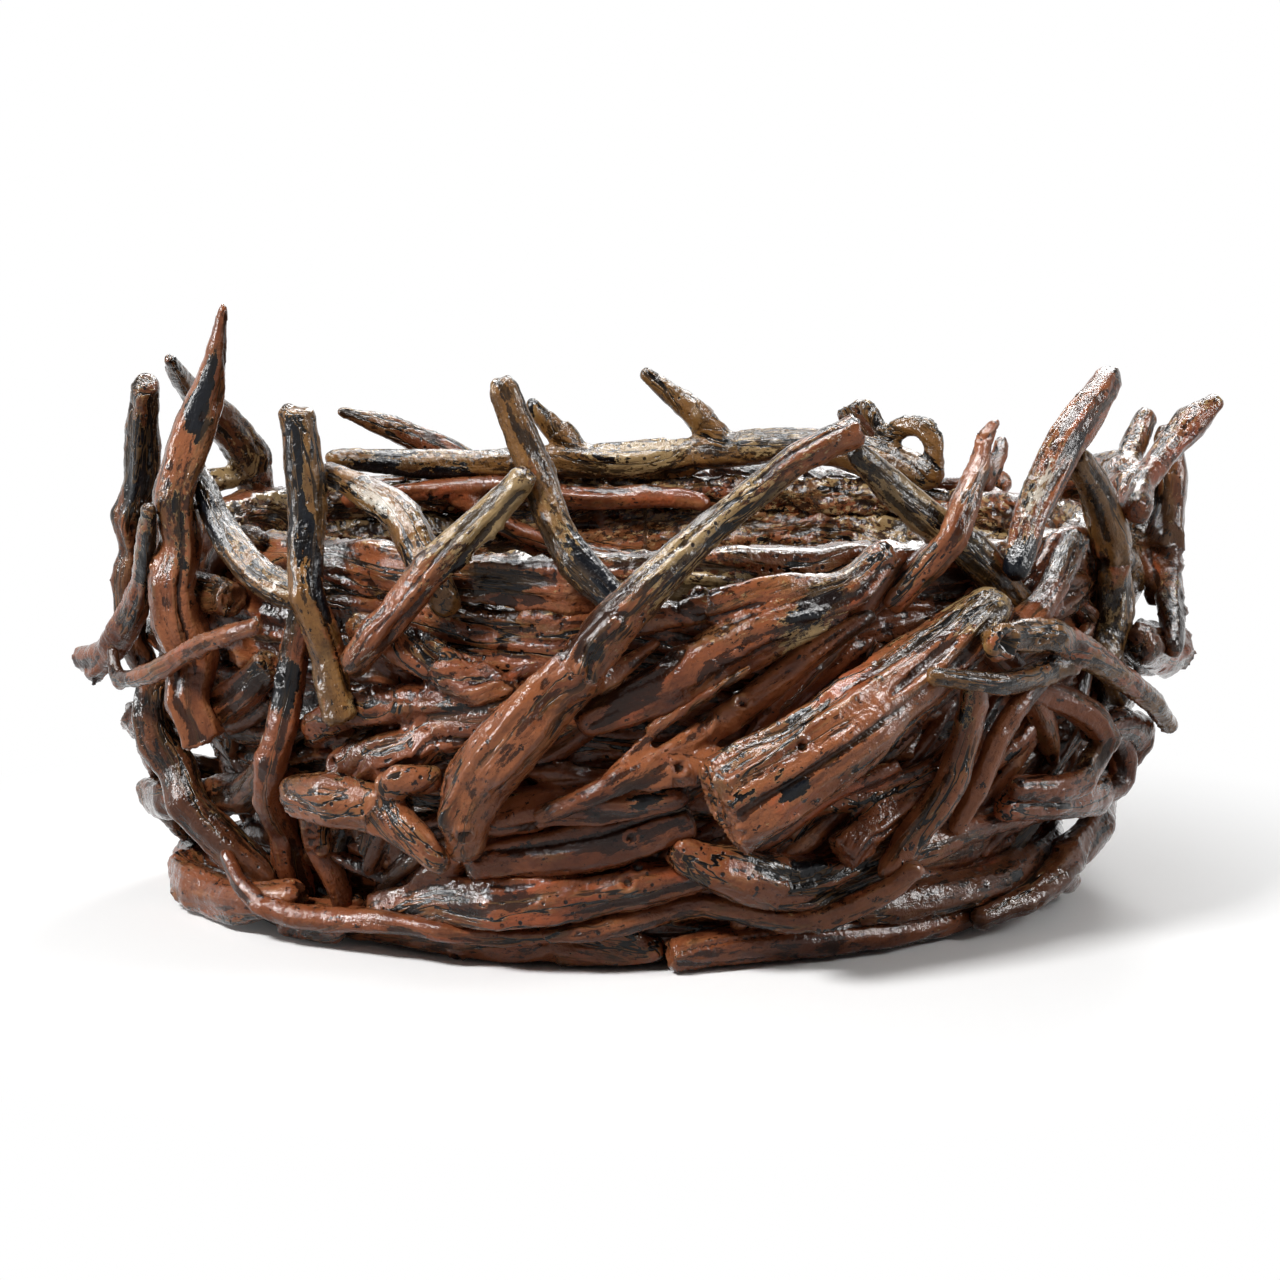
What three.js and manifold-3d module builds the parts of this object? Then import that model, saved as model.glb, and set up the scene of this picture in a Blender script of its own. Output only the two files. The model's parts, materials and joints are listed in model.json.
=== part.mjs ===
// A ceramic bowl built as a nest: an oval coil-built wall on a base slab, wrapped in rolled and
// carved clay branches that lie on the wall and on each other. Millimetres, +Z up. The origin is
// the centre of the base slab's underside, +X along the bowl's length, -Y towards its front.
import * as THREE from 'three';
import { mergeVertices } from 'three/addons/utils/BufferGeometryUtils.js';
import Module from 'manifold-3d';

// Bowl wall
const WALL_HEIGHT = 132;
const RIM_HALF_LENGTH = 160;
const RIM_HALF_DEPTH = 135;
const FOOT_HALF_LENGTH = 122;
const FOOT_HALF_DEPTH = 114;
const FLARE_HEIGHT = 85; // the wall stands upright above this height
const FLARE_POWER = 1.6; // how full the flare's curve is
const WALL_THICKNESS = 10;
const COURSE_BULGE_OUT = 1.6; // each course swells outward between its seams
const COURSE_BULGE_IN = 2.6;
const COURSE_SEAMS = [50, 90, 117]; // heights of the joints between the four courses
const SEAM_WAVE = 1.6; // how far a hand-pinched seam wanders up and down
const SEAM_WAVES = [3, 7]; // its slow and quick waves round the bowl
const RIM_TILT = 3; // the rim is higher in front and lower behind by this much
const RIM_RIPPLE = 0.9;
const RIM_WAVES = 5;
const WALL_STEPS = 36;

// Base slab
const SLAB_THICKNESS = 11;
const SLAB_BEVEL = 2;

// Clay coils: the radius of each rolled stock that the branches are made from
const STOCK = {
  sprig: 2.8,
  twig: 4.1,
  strand: 5.1,
  stem: 6.3,
  branch: 7.5,
  log: 8.8,
  great: 10.6,
  limb: 15.2,
};
const FLATNESS = 0.92; // thickness away from the wall as a share of the width
const SLIM = 7; // branches up to this radius have six sides, others seven
const RIDGE = 0.06; // how far the finger-pressed section departs from round
const RIDGES = 3;
const RIDGE_TWIST = 18; // how slowly its ridges turn along the branch

// How the branches lie
const LUTE_GAP = 0.3; // clearance between neighbouring solids
const PRESS = 1.3; // how far a soft branch is pressed onto the branches below it
const BEND_SLOPE = 0.35; // how fast a branch can climb over another one
const FLOOR_CLEARANCE = 0.6; // branches stay this far above the resting plane
const REACH = 10; // the length that a route's distances out are shares of
const SETTLE_REACH = 30; // a branch with nothing this close below it keeps its own place
const RINGS_PER_POINT = 1.5; // a branch's rings for each point of its route
const SAMPLES_PER_RING = 3;
const MERGE_TOLERANCE = 1e-4;

const wasm = await Module();
wasm.setup();

// The wall's half length and half depth at a height
function wallHalf(z) {
  const u = THREE.MathUtils.clamp(z / FLARE_HEIGHT, 0, 1);
  const flare = 1 - (1 - u) ** FLARE_POWER;
  return [
    THREE.MathUtils.lerp(FOOT_HALF_LENGTH, RIM_HALF_LENGTH, flare),
    THREE.MathUtils.lerp(FOOT_HALF_DEPTH, RIM_HALF_DEPTH, flare),
  ];
}

// A point by its azimuth (degrees, 0 in front, 90 at +X), height and distance out from the wall
function spot(azimuth, z, out) {
  const [length, depth] = wallHalf(z);
  const turn = THREE.MathUtils.degToRad(azimuth);
  return new THREE.Vector3((length + out) * Math.sin(turn), -(depth + out) * Math.cos(turn), z);
}

function outward(azimuth, z) {
  const [length, depth] = wallHalf(z);
  const turn = THREE.MathUtils.degToRad(azimuth);
  return new THREE.Vector3(depth * Math.sin(turn), -length * Math.cos(turn), 0).normalize();
}

function rimTop(azimuth) {
  const turn = THREE.MathUtils.degToRad(azimuth);
  return WALL_HEIGHT + RIM_TILT * Math.cos(turn) + RIM_RIPPLE * Math.sin(RIM_WAVES * turn);
}

function seamHeight(index, azimuth) {
  const turn = THREE.MathUtils.degToRad(azimuth);
  const [slow, quick] = SEAM_WAVES.map((waves) => Math.sin(waves * turn + 2 * index));
  return COURSE_SEAMS[index] + SEAM_WAVE * THREE.MathUtils.lerp(slow, quick, 1 / 3);
}

// Closed surface from equal rows of points; the first and last rows are fanned shut or joined
function skin(rows, joined) {
  const count = rows[0].length;
  const positions = rows.flat().flatMap((p) => [p.x, p.y, p.z]);
  const faces = [];
  const last = joined ? rows.length : rows.length - 1;
  for (let i = 0; i < last; i += 1) {
    const next = (i + 1) % rows.length;
    for (let j = 0; j < count; j += 1) {
      const k = (j + 1) % count;
      faces.push(i * count + j, i * count + k, next * count + k);
      faces.push(i * count + j, next * count + k, next * count + j);
    }
  }
  if (!joined) {
    const first = positions.length / 3;
    for (const row of [rows[0], rows[rows.length - 1]]) {
      const middle = new THREE.Vector3();
      row.forEach((p) => middle.addScaledVector(p, 1 / count));
      positions.push(middle.x, middle.y, middle.z);
    }
    const end = (rows.length - 1) * count;
    for (let j = 0; j < count; j += 1) {
      const k = (j + 1) % count;
      faces.push(first, k, j);
      faces.push(first + 1, end + j, end + k);
    }
  }
  const geometry = new THREE.BufferGeometry();
  geometry.setAttribute('position', new THREE.Float32BufferAttribute(positions, 3));
  geometry.setIndex(faces);
  return geometry;
}

function toSolid(geometry) {
  const bare = geometry.clone();
  bare.deleteAttribute('normal');
  bare.deleteAttribute('uv');
  const merged = mergeVertices(bare, MERGE_TOLERANCE);
  return new wasm.Manifold(new wasm.Mesh({
    numProp: 3,
    vertProperties: new Float32Array(merged.attributes.position.array),
    triVerts: new Uint32Array(merged.index.array),
  }));
}

function toGeometry(solid) {
  const mesh = solid.getMesh();
  const geometry = new THREE.BufferGeometry();
  geometry.setAttribute('position', new THREE.BufferAttribute(mesh.vertProperties, 3));
  geometry.setIndex(new THREE.BufferAttribute(mesh.triVerts, 1));
  geometry.computeVertexNormals();
  return geometry;
}

// A cut can part a crumb from a branch: the main body stays
function mainBody(solid) {
  return solid.decompose().sort((a, b) => b.volume() - a.volume())[0];
}

// A ring of wall between two wavy heights. offsets gives, at a share of its height, how far its
// two faces stand off the wall's own faces.
function ring(bottom, top, shares, offsets) {
  const rows = [];
  for (let i = 0; i < WALL_STEPS; i += 1) {
    const azimuth = (360 * i) / WALL_STEPS;
    const [low, high] = [bottom(azimuth), top(azimuth)];
    const at = (share, out) => spot(azimuth, THREE.MathUtils.lerp(low, high, share), out);
    const outside = shares.map((s) => at(s, offsets(s)[0]));
    const inside = shares.map((s) => at(s, -WALL_THICKNESS - offsets(s)[1]));
    rows.push([...inside, ...outside.reverse()]);
  }
  return skin(rows, true);
}

// One course: a fat coil that swells between its seams
function course(bottom, top) {
  const swell = (share) => Math.sin(Math.PI * share);
  const offsets = (share) => [COURSE_BULGE_OUT * swell(share), COURSE_BULGE_IN * swell(share)];
  return ring(bottom, top, [0, 0.5, 1], offsets);
}

function baseSlab() {
  const outline = new THREE.Shape();
  outline.absellipse(0, 0, FOOT_HALF_LENGTH - SLAB_BEVEL, FOOT_HALF_DEPTH - SLAB_BEVEL, 0, 2 * Math.PI);
  const slab = new THREE.ExtrudeGeometry(outline, {
    depth: SLAB_THICKNESS - 2 * SLAB_BEVEL,
    bevelThickness: SLAB_BEVEL,
    bevelSize: SLAB_BEVEL,
    bevelSegments: 1,
    curveSegments: WALL_STEPS,
  });
  slab.translate(0, 0, SLAB_BEVEL);
  return slab;
}

// A branch of rolled clay. route: points of [azimuth, level, out]; level is a share of the wall's
// height, out is the centreline's distance from the wall's outer face, in shares of REACH. taper:
// shares of the stock's radius, spaced evenly from start to end. ends: point, round or cut, for
// start and end.
function coil(stock, taper, ends, route, options = {}) {
  return { stock, taper, ends: ends.split(' '), route, out: 0, inside: false, ...options };
}

function radiusAt(branch, share) {
  const place = share * (branch.taper.length - 1);
  const index = Math.min(Math.floor(place), branch.taper.length - 2);
  const blend = THREE.MathUtils.smoothstep(place - index, 0, 1);
  const factor = THREE.MathUtils.lerp(branch.taper[index], branch.taper[index + 1], blend);
  return STOCK[branch.stock] * factor;
}

// The branch's samples along a smooth curve through its route, before it is laid
function samplesOf(branch) {
  const knots = branch.route.map(([azimuth, level, out = branch.out]) => (
    new THREE.Vector3(azimuth, level * WALL_HEIGHT, out * REACH)
  ));
  const curve = new THREE.CatmullRomCurve3(knots, false, 'catmullrom', 0.5);
  const count = Math.ceil(RINGS_PER_POINT * knots.length) * SAMPLES_PER_RING;
  const samples = [];
  for (let i = 0; i <= count; i += 1) {
    const knot = curve.getPoint(i / count);
    const radius = radiusAt(branch, i / count);
    const z = Math.max(knot.y, radius + FLOOR_CLEARANCE);
    samples.push({ azimuth: knot.x, z, out: knot.z, radius });
  }
  return samples;
}

// How far out a sample has to move, along the wall's normal, to lie on what is there already.
// It is negative where there is room to move in.
function liftFor(sample, sign, laid) {
  const { azimuth, z, out, radius } = sample;
  const normal = outward(azimuth, z).multiplyScalar(sign);
  let lift = -Infinity;
  if (z < rimTop(azimuth)) {
    const wall = sign > 0 ? COURSE_BULGE_OUT : WALL_THICKNESS + COURSE_BULGE_IN;
    lift = wall + LUTE_GAP + radius * FLATNESS - sign * out;
  }
  const centre = spot(azimuth, z, out);
  for (const other of laid) {
    const reach = FLATNESS * (radius + other.radius) - PRESS;
    const offset = centre.clone().sub(other.centre);
    const along = offset.dot(normal);
    const room = along * along + reach * reach - offset.lengthSq();
    const rise = room > 0 ? Math.sqrt(room) - along : -Infinity;
    if (rise > -SETTLE_REACH) lift = Math.max(lift, rise);
  }
  return lift;
}

// Lays a branch on the wall and on the branches below it, and returns its placed samples
function lay(branch, laid, carrier) {
  const sign = branch.inside ? -1 : 1;
  const samples = samplesOf(branch);
  if (carrier) {
    const start = spot(samples[0].azimuth, samples[0].z, samples[0].out);
    const near = carrier.reduce((a, b) => (
      spot(b.azimuth, b.z, samples[0].out).distanceTo(start)
        < spot(a.azimuth, a.z, samples[0].out).distanceTo(start) ? b : a
    ));
    const shift = near.out - samples[0].out;
    samples.forEach((s) => { s.out += shift; });
  }
  let lifts = samples.map((s) => liftFor(s, sign, laid));
  const highest = Math.max(...lifts, -SETTLE_REACH);
  if (!carrier && !branch.stands && highest < 0) {
    samples.forEach((s) => { s.out += sign * highest; });
    lifts = lifts.map((v) => v - highest);
  }
  const centres = samples.map((s) => spot(s.azimuth, s.z, s.out));
  const runs = centres.map((c, i) => (i > 0 ? c.distanceTo(centres[i - 1]) : 0));
  runs.forEach((run, i) => { runs[i] = i > 0 ? runs[i - 1] + run : 0; });
  // A fork leans in towards the wall, unless its route says how far out it is
  const leansIn = carrier && !branch.out && branch.route.every((point) => point.length === 2);
  const moveAt = (i) => {
    const least = leansIn ? -BEND_SLOPE * runs[i] : 0;
    return lifts.reduce((most, lift, j) => (
      Math.max(most, lift - BEND_SLOPE * Math.abs(runs[i] - runs[j]))
    ), least);
  };
  return samples.map((s, i) => {
    const out = s.out + sign * moveAt(i);
    return { ...s, out, centre: spot(s.azimuth, s.z, out) };
  });
}

// Extra rings that close an end: [distance past the end, share of the radius]
const END_RINGS = {
  cut: [],
  round: [[0.62, 0.68]],
  point: [[0.9, 0.55]],
};

// The branch's solid: rings of a slightly ridged section along its centreline
function tube(branch, samples, grow = 0) {
  const rings = samples.filter((s, i) => i % SAMPLES_PER_RING === 0);
  const centres = rings.map((s) => s.centre.clone());
  const tangents = centres.map((c, i) => {
    const before = centres[Math.max(0, i - 1)];
    const after = centres[Math.min(centres.length - 1, i + 1)];
    return after.clone().sub(before).normalize();
  });
  const widest = Math.max(...rings.map((s) => s.radius));
  const sides = widest < SLIM ? 6 : 7;
  const side = outward(rings[0].azimuth, rings[0].z);
  if (Math.abs(side.dot(tangents[0])) > 0.9) side.set(0, 0, 1);
  const section = (centre, tangent, radius) => {
    side.addScaledVector(tangent, -side.dot(tangent)).normalize();
    const across = tangent.clone().cross(side);
    return Array.from({ length: sides }, (_, j) => {
      const angle = (2 * Math.PI * j) / sides;
      const ridge = 1 + RIDGE * Math.sin(RIDGES * angle + (centre.x + centre.z) / RIDGE_TWIST);
      const size = radius * ridge + grow;
      return centre.clone()
        .addScaledVector(side, FLATNESS * size * Math.cos(angle))
        .addScaledVector(across, size * Math.sin(angle));
    });
  };
  const rows = [];
  const cap = (index, direction) => {
    const { radius } = rings[index];
    const tangent = tangents[index];
    const kind = branch.ends[direction < 0 ? 0 : 1];
    const rounds = END_RINGS[kind].map(([past, share]) => (
      section(
        centres[index].clone().addScaledVector(tangent, direction * (past * radius + grow)),
        tangent,
        radius * share,
      )
    ));
    return direction < 0 ? rounds.reverse() : rounds;
  };
  rows.push(...cap(0, -1));
  rings.forEach((s, i) => {
    const centre = centres[i].clone();
    if (i === 0 && branch.ends[0] === 'cut') centre.addScaledVector(tangents[i], -grow);
    if (i === rings.length - 1 && branch.ends[1] === 'cut') centre.addScaledVector(tangents[i], grow);
    rows.push(section(centre, tangents[i], s.radius));
  });
  rows.push(...cap(rings.length - 1, 1));
  return skin(rows, false);
}

// Glazed stoneware colours over the carved clay
const GLAZE = {
  terracotta: { color: 0x8a4b33, roughness: 0.2, metalness: 0 },
  umber: { color: 0x5b2e1e, roughness: 0.22, metalness: 0 },
  dark: { color: 0x3a2018, roughness: 0.22, metalness: 0 },
  olive: { color: 0x5f4a33, roughness: 0.25, metalness: 0 },
};

// The branches, in the order in which they are laid: each entry is [node name, glaze, coils].
// The first coil of an entry carries the others, whose routes start where they join it.
const BRANCHES = [
  // Strands on the back wall, seen across the bowl
  ['back_ledge', 'umber', [
    coil('strand', [0.55, 0.75, 0.95, 1, 0.6], 'round round',
      [[-130, 0.95], [-145, 0.96], [-160, 0.96], [-170, 0.92], [-181, 0.93], [-189, 0.91]],
      { out: -1.2, inside: true }),
    coil('twig', [1, 1, 0.7], 'round round', [[-150, 0.95], [-160, 0.83], [-174, 0.76], [-190, 0.73]],
      { out: -1.2, inside: true }),
  ]],
  ['back_rim_log', 'olive', [
    coil('branch', [0.5, 0.75, 0.95, 1, 1, 1.05, 1.05, 0.8], 'round round',
      [[-129, 1.07], [-143, 1.04], [-157, 1.02], [-170, 1.02], [-185, 1.03], [-197, 1.07],
        [-207, 1.08], [-217, 1.05], [-226, 1.02]], { out: -0.5 }),
    coil('stem', [1, 0.95, 0.7, 0.4], 'round round',
      [[-192, 1.06], [-189, 1.13], [-185, 1.2], [-180, 1.28]], { out: -0.5 }),
    coil('strand', [0.9, 1.05, 1, 0.6], 'round round', [[-172, 1.0], [-168, 1.09], [-163, 1.19]],
      { out: -0.5 }),
    coil('twig', [0.9, 1, 1, 0.9], 'round round', [[-217, 1.06], [-220, 1.14], [-225, 1.15], [-227, 1.05]],
      { out: -0.5 }),
    coil('sprig', [1.2, 1.3, 1], 'round round', [[-218, 1.1], [-216, 1.16], [-214, 1.2]], { out: -0.5 }),
  ]],
  ['back_rim_twig', 'umber', [
    coil('stem', [0.35, 0.8, 1, 0.8], 'round round',
      [[-134, 1.19], [-143, 1.13], [-150, 1.07], [-158, 0.99]], { out: 0.6 }),
  ]],
  // Strands that wrap the left side and show their cut ends behind the posts
  ['left_wrap_high', 'dark', [
    coil('branch', [0.85, 0.95, 1, 1, 0.9, 0.6], 'cut round',
      [[-53, 0.86], [-64, 0.86], [-82, 0.8], [-105, 0.74], [-132, 0.62], [-156, 0.46]]),
    coil('stem', [1, 0.9, 0.8, 0.5], 'round round',
      [[-108, 0.73], [-122, 0.84], [-136, 0.94], [-148, 0.97]]),
    coil('stem', [0.9, 1.1, 1, 0.8], 'round round', [[-84, 0.79], [-99, 0.63], [-118, 0.5], [-138, 0.42]]),
    coil('stem', [0.8, 1, 1, 0.8], 'round round', [[-62, 0.87], [-73, 0.97], [-90, 1.01], [-108, 0.99]]),
  ]],
  ['left_wrap_mid', 'umber', [
    coil('stem', [1, 1.1, 1.1, 1.2, 1.15, 0.9, 0.6], 'cut round',
      [[-46, 0.72], [-54, 0.6], [-66, 0.54], [-79, 0.48, 1.4], [-91, 0.43, 2.6], [-108, 0.38, 1.4],
        [-134, 0.34], [-164, 0.24]]),
    coil('stem', [1, 1.1, 0.9, 0.6], 'round cut',
      [[-80, 0.47, 1.6], [-90, 0.32, 2.4], [-104, 0.24, 1.2], [-126, 0.17]]),
    coil('strand', [0.9, 1.1, 0.8], 'round round', [[-62, 0.55], [-76, 0.68], [-97, 0.68]]),
  ]],
  ['left_wrap_low', 'dark', [
    coil('stem', [1, 1.1, 1.15, 1.15, 0.9, 0.7], 'cut round',
      [[-47, 0.48], [-56, 0.36], [-70, 0.31], [-84, 0.25, 1.6], [-100, 0.2, 1.4], [-122, 0.17],
        [-148, 0.14], [-172, 0.11]]),
    coil('strand', [1, 1.15, 0.9], 'round cut',
      [[-86, 0.24, 1.6], [-94, 0.12, 1.7], [-104, 0.05, 1.4]]),
  ]],
  ['left_upright', 'umber', [
    coil('strand', [0.9, 1.1, 1.1, 1, 1.25, 1.2], 'round round',
      [[-41, 0.88], [-43, 0.68], [-44, 0.52], [-50, 0.34], [-53, 0.19], [-58, 0.06]]),
  ]],
  // Foot of the bowl
  ['foot_log', 'umber', [
    coil('stem', [0.6, 0.9, 1, 1, 1, 0.9], 'round round',
      [[-126, 0.05], [-98, 0.05], [-72, 0.05], [-47, 0.05], [-30, 0.05], [-15, 0.05], [1, 0.04]]),
    coil('twig', [1.1, 1.3, 1], 'round round', [[-1, 0.06], [-8, 0.13], [-16, 0.17]]),
  ]],
  ['keel_log', 'umber', [
    coil('stem', [0.85, 1.05, 1.05, 1, 0.9, 0.6], 'cut round',
      [[3, 0.05], [12, 0.06], [24, 0.06], [40, 0.05], [58, 0.06], [84, 0.07], [114, 0.06]]),
    coil('twig', [0.9, 1.1, 0.8], 'round round', [[24, 0.04, 1], [38, 0.04, 1.2], [52, 0.05, 1]]),
  ]],
  ['belly_log', 'umber', [
    coil('log', [0.75, 0.95, 1, 0.9, 0.6], 'round round',
      [[-37, 0.12], [-24, 0.16], [-11, 0.2], [-1, 0.23], [7, 0.25]]),
    coil('strand', [1, 1.05, 0.8], 'round round', [[-32, 0.15], [-28, 0.21], [-23, 0.27]]),
  ]],
  ['sill_log', 'umber', [
    coil('log', [0.8, 0.95, 1, 0.8], 'round cut', [[-20, 0.28], [-12, 0.31], [-4, 0.35], [5, 0.41]]),
  ]],
  ['knot_log', 'umber', [
    coil('branch', [0.8, 1, 1, 1], 'round cut', [[3, 0.47], [-5, 0.44], [-12, 0.42], [-18, 0.4]]),
    coil('twig', [0.9, 1.1, 1], 'round round', [[0, 0.46], [-6, 0.5], [-13, 0.52]]),
  ]],
  ['right_belly_log', 'umber', [
    coil('log', [0.65, 1.05, 1.1, 1, 0.8, 0.7, 0.6], 'round round',
      [[4, 0.32], [11, 0.25], [19, 0.22], [26, 0.24], [35, 0.29], [50, 0.32], [68, 0.3]]),
    coil('twig', [0.9, 1.1, 0.8], 'round round', [[28, 0.24], [20, 0.13], [12, 0.12]]),
  ]],
  ['right_lower_foot', 'dark', [
    coil('stem', [0.8, 1.1, 1.15, 1, 0.7], 'round cut',
      [[30, 0.12], [41, 0.13], [57, 0.13], [78, 0.15], [104, 0.17]]),
  ]],
  // Strands on the front wall, under the great diagonal
  ['left_tuck', 'umber', [
    coil('branch', [0.7, 1, 1.1, 1], 'round round', [[-33, 0.83], [-27, 0.8], [-21, 0.75], [-14, 0.66]]),
    coil('stem', [0.95, 1.1, 1, 0.8], 'round round', [[-16, 0.65], [-26, 0.66], [-34, 0.63], [-40, 0.57]]),
    coil('sprig', [0.9, 1, 0.6], 'round point', [[-17, 0.7], [-13, 0.75], [-9, 0.76]]),
    coil('log', [0.7, 0.9, 0.95, 0.75], 'round round',
      [[-15, 0.62], [-21, 0.58], [-29, 0.53], [-36, 0.49]]),
    coil('strand', [1, 1.1, 0.9], 'round round', [[-35, 0.48], [-43, 0.36], [-46, 0.24]]),
  ]],
  ['shield_branch', 'umber', [
    coil('log', [0.6, 0.95, 1.05, 1.05, 0.8], 'round round',
      [[26, 1.02], [22, 0.94], [12, 0.85], [4, 0.75], [-6, 0.65]], { out: 0.8 }),
    coil('strand', [0.8, 1, 1, 0.9], 'round round', [[24, 0.96], [15, 0.95], [4, 0.9], [-4, 0.86]],
      { out: 0.6 }),
  ]],
  ['long_runner', 'terracotta', [
    coil('strand', [0.65, 0.95, 1, 1, 0.9, 0.7], 'round round',
      [[25, 0.87], [18, 0.79], [12, 0.69], [5, 0.6], [-2, 0.51], [-11, 0.42]]),
    coil('sprig', [0.9, 1, 0.7], 'round point', [[-5, 0.48], [1, 0.63], [10, 0.77]]),
    coil('strand', [0.9, 1.1, 1.1, 1], 'round round', [[-3, 0.51], [5, 0.53], [12, 0.55], [19, 0.58]]),
  ]],
  // Props and posts of the left half of the rim
  ['rim_twig', 'olive', [
    coil('stem', [0.6, 0.95, 1.05, 0.8], 'round round',
      [[-39, 1.19], [-33, 1.15], [-28, 1.1], [-24, 1.0], [-22, 0.9]]),
  ]],
  ['leaning_post', 'olive', [
    coil('stem', [0.85, 0.9, 0.95, 1, 1.05, 0.9], 'round round',
      [[-16, 1.41], [-14, 1.3], [-12, 1.19], [-10, 1.09], [-7, 1.0], [-3, 0.92]]),
  ]],
  ['left_shoulder', 'dark', [
    coil('log', [0.7, 0.95, 1, 0.8], 'round round', [[-70, 0.6], [-70, 0.46], [-66, 0.31], [-58, 0.14]]),
  ]],
  ['arched_twig', 'olive', [
    coil('stem', [0.45, 0.8, 1, 1.05, 0.9], 'round round',
      [[-60, 1.22], [-56, 1.12], [-51, 1.01], [-45, 0.93], [-38, 0.9]], { out: 1.2 }),
  ]],
  ['short_prop', 'terracotta', [
    coil('stem', [0.75, 1, 1.05, 1.05, 0.9], 'round round',
      [[-13, 1.21, 0.6], [-19, 1.07], [-24, 0.94], [-28, 0.83], [-31, 0.76]], { out: 0.8 }),
  ]],
  ['notched_post', 'olive', [
    coil('stem', [1, 1.1, 1, 0.95, 0.9, 0.85], 'cut cut',
      [[-40, 1.35], [-39, 1.18], [-38, 1.03], [-36, 0.88], [-35, 0.75], [-33, 0.61]], { out: 1.1 }),
    coil('sprig', [1, 1, 0.8], 'round cut', [[-38.5, 1.31], [-40, 1.335], [-42, 1.35]], { out: 1.1 }),
  ]],
  // The left cluster of spikes
  ['tall_spike', 'terracotta', [
    coil('log', [0.16, 0.5, 0.8, 0.92, 1, 1, 0.9], 'point cut',
      [[-51, 1.58], [-53, 1.45], [-55, 1.34], [-56, 1.2], [-58, 1.02], [-59, 0.84], [-58, 0.68],
        [-56, 0.5]],
      { out: 1.3 }),
    coil('sprig', [0.5, 0.9, 1.1, 1.2, 1], 'point round',
      [[-58, 1.36], [-61, 1.25], [-63, 1.12], [-64, 0.97], [-65, 0.8]], { out: 1.3 }),
  ]],
  ['left_post', 'dark', [
    coil('stem', [0.95, 1.1, 1.1, 1.1, 1.05, 0.9], 'round cut',
      [[-74, 1.35], [-78, 1.2], [-81, 1.04], [-83, 0.88], [-84, 0.74], [-86, 0.6]], { out: 1.4 }),
  ]],
  ['left_outer_twig', 'umber', [
    coil('strand', [0.5, 0.9, 1.05, 1.1, 0.5], 'point round',
      [[-57, 1.09, 2], [-62, 0.95], [-68, 0.81], [-76, 0.68, 2.7], [-80, 0.58, 3.3]], { out: 2.3 }),
    coil('strand', [0.9, 1.05, 0.9], 'round cut', [[-74, 0.69, 2.4], [-79, 0.65, 2.8], [-83, 0.63, 3.4]]),
  ]],
  ['hooked_twig', 'terracotta', [
    coil('sprig', [1.1, 1.2, 1.25, 1.2, 0.9], 'cut round',
      [[-41, 0.84, 2.6], [-50, 0.77], [-59, 0.68], [-68, 0.63, 3], [-71, 0.69, 3]], { out: 2.7 }),
  ]],
  // Twigs around the left foot
  ['curled_foot', 'umber', [
    coil('branch', [1, 1.15, 1, 0.7], 'cut round',
      [[-78, 0.1, 2], [-71, 0.06, 1.8], [-60, 0.07, 1.4], [-50, 0.12, 0.8]]),
  ]],
  ['foot_twig', 'umber', [
    coil('twig', [0.6, 0.9, 1.1, 1, 0.9, 0.7], 'round round',
      [[-59, 0.2], [-53, 0.1], [-45, 0.08], [-30, 0.1], [-18, 0.08], [-9, 0.11]], { out: 1 }),
    coil('twig', [0.9, 1.1, 0.8], 'round round',
      [[-41, 0.09], [-46, 0.03], [-53, 0.02]]),
  ]],
  // The large members across the front
  ['great_diagonal', 'terracotta', [
    coil('great', [0.5, 0.5, 0.52, 0.6, 0.76, 0.88, 1.04, 1, 0.6], 'cut round',
      [[22, 1.32, 1.4], [16, 1.27, 1.4], [9, 1.14], [3, 1.03], [-3, 0.9], [-8, 0.75], [-13, 0.61],
        [-18, 0.47], [-20, 0.33]], { out: 1 }),
    coil('twig', [1.1, 0.9, 0.4], 'round point', [[-9, 0.68], [-4, 0.75], [1, 0.82]]),
  ]],
  ['diagonal_foot', 'terracotta', [
    coil('log', [0.85, 1.05, 0.9, 0.7, 0.5], 'round round',
      [[-41, 0.41], [-35, 0.42], [-30, 0.4], [-25, 0.35], [-22, 0.3]]),
    coil('strand', [0.9, 1.05, 0.9], 'round round', [[-28, 0.41], [-27, 0.48], [-23, 0.49]]),
  ]],
  ['right_runner', 'olive', [
    coil('stem', [0.65, 0.95, 1.05, 1.1, 1], 'round round',
      [[23, 1.26, 0.6], [28, 1.17], [34, 1.07], [40, 0.96], [46, 0.85]], { out: 0.4 }),
  ]],
  ['squared_peg', 'umber', [
    coil('stem', [1.05, 1.1, 1], 'cut round', [[22, 0.3], [28, 0.38], [34, 0.46]]),
    coil('twig', [0.9, 1, 0.8], 'round round', [[29, 0.42], [24, 0.42], [18, 0.4]]),
  ]],
  ['thick_limb', 'terracotta', [
    coil('limb', [1.06, 1.04, 0.98, 0.86, 0.74, 0.56], 'cut round',
      [[7, 0.46], [14, 0.54], [20, 0.62], [26, 0.7], [32, 0.79], [38, 0.88]], { out: 1.6 }),
  ]],
  // Posts and props of the right half of the rim
  ['right_leaner', 'terracotta', [
    coil('strand', [0.5, 0.85, 1, 1, 0.85], 'round round',
      [[42, 1.31], [39, 1.21], [35, 1.11], [32, 1.0], [28, 0.9]], { out: 0.4 }),
    coil('sprig', [1, 1.1, 0.9], 'round round', [[40, 1.16], [43, 1.21], [45, 1.26]]),
  ]],
  ['squared_stub', 'umber', [
    coil('stem', [0.9, 0.95, 0.9], 'cut round', [[57, 1.0], [49, 0.91], [42, 0.82]], { out: 0.6 }),
  ]],
  ['right_post', 'terracotta', [
    coil('stem', [0.8, 1.05, 1.15, 1.15, 1, 0.85], 'round round',
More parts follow.
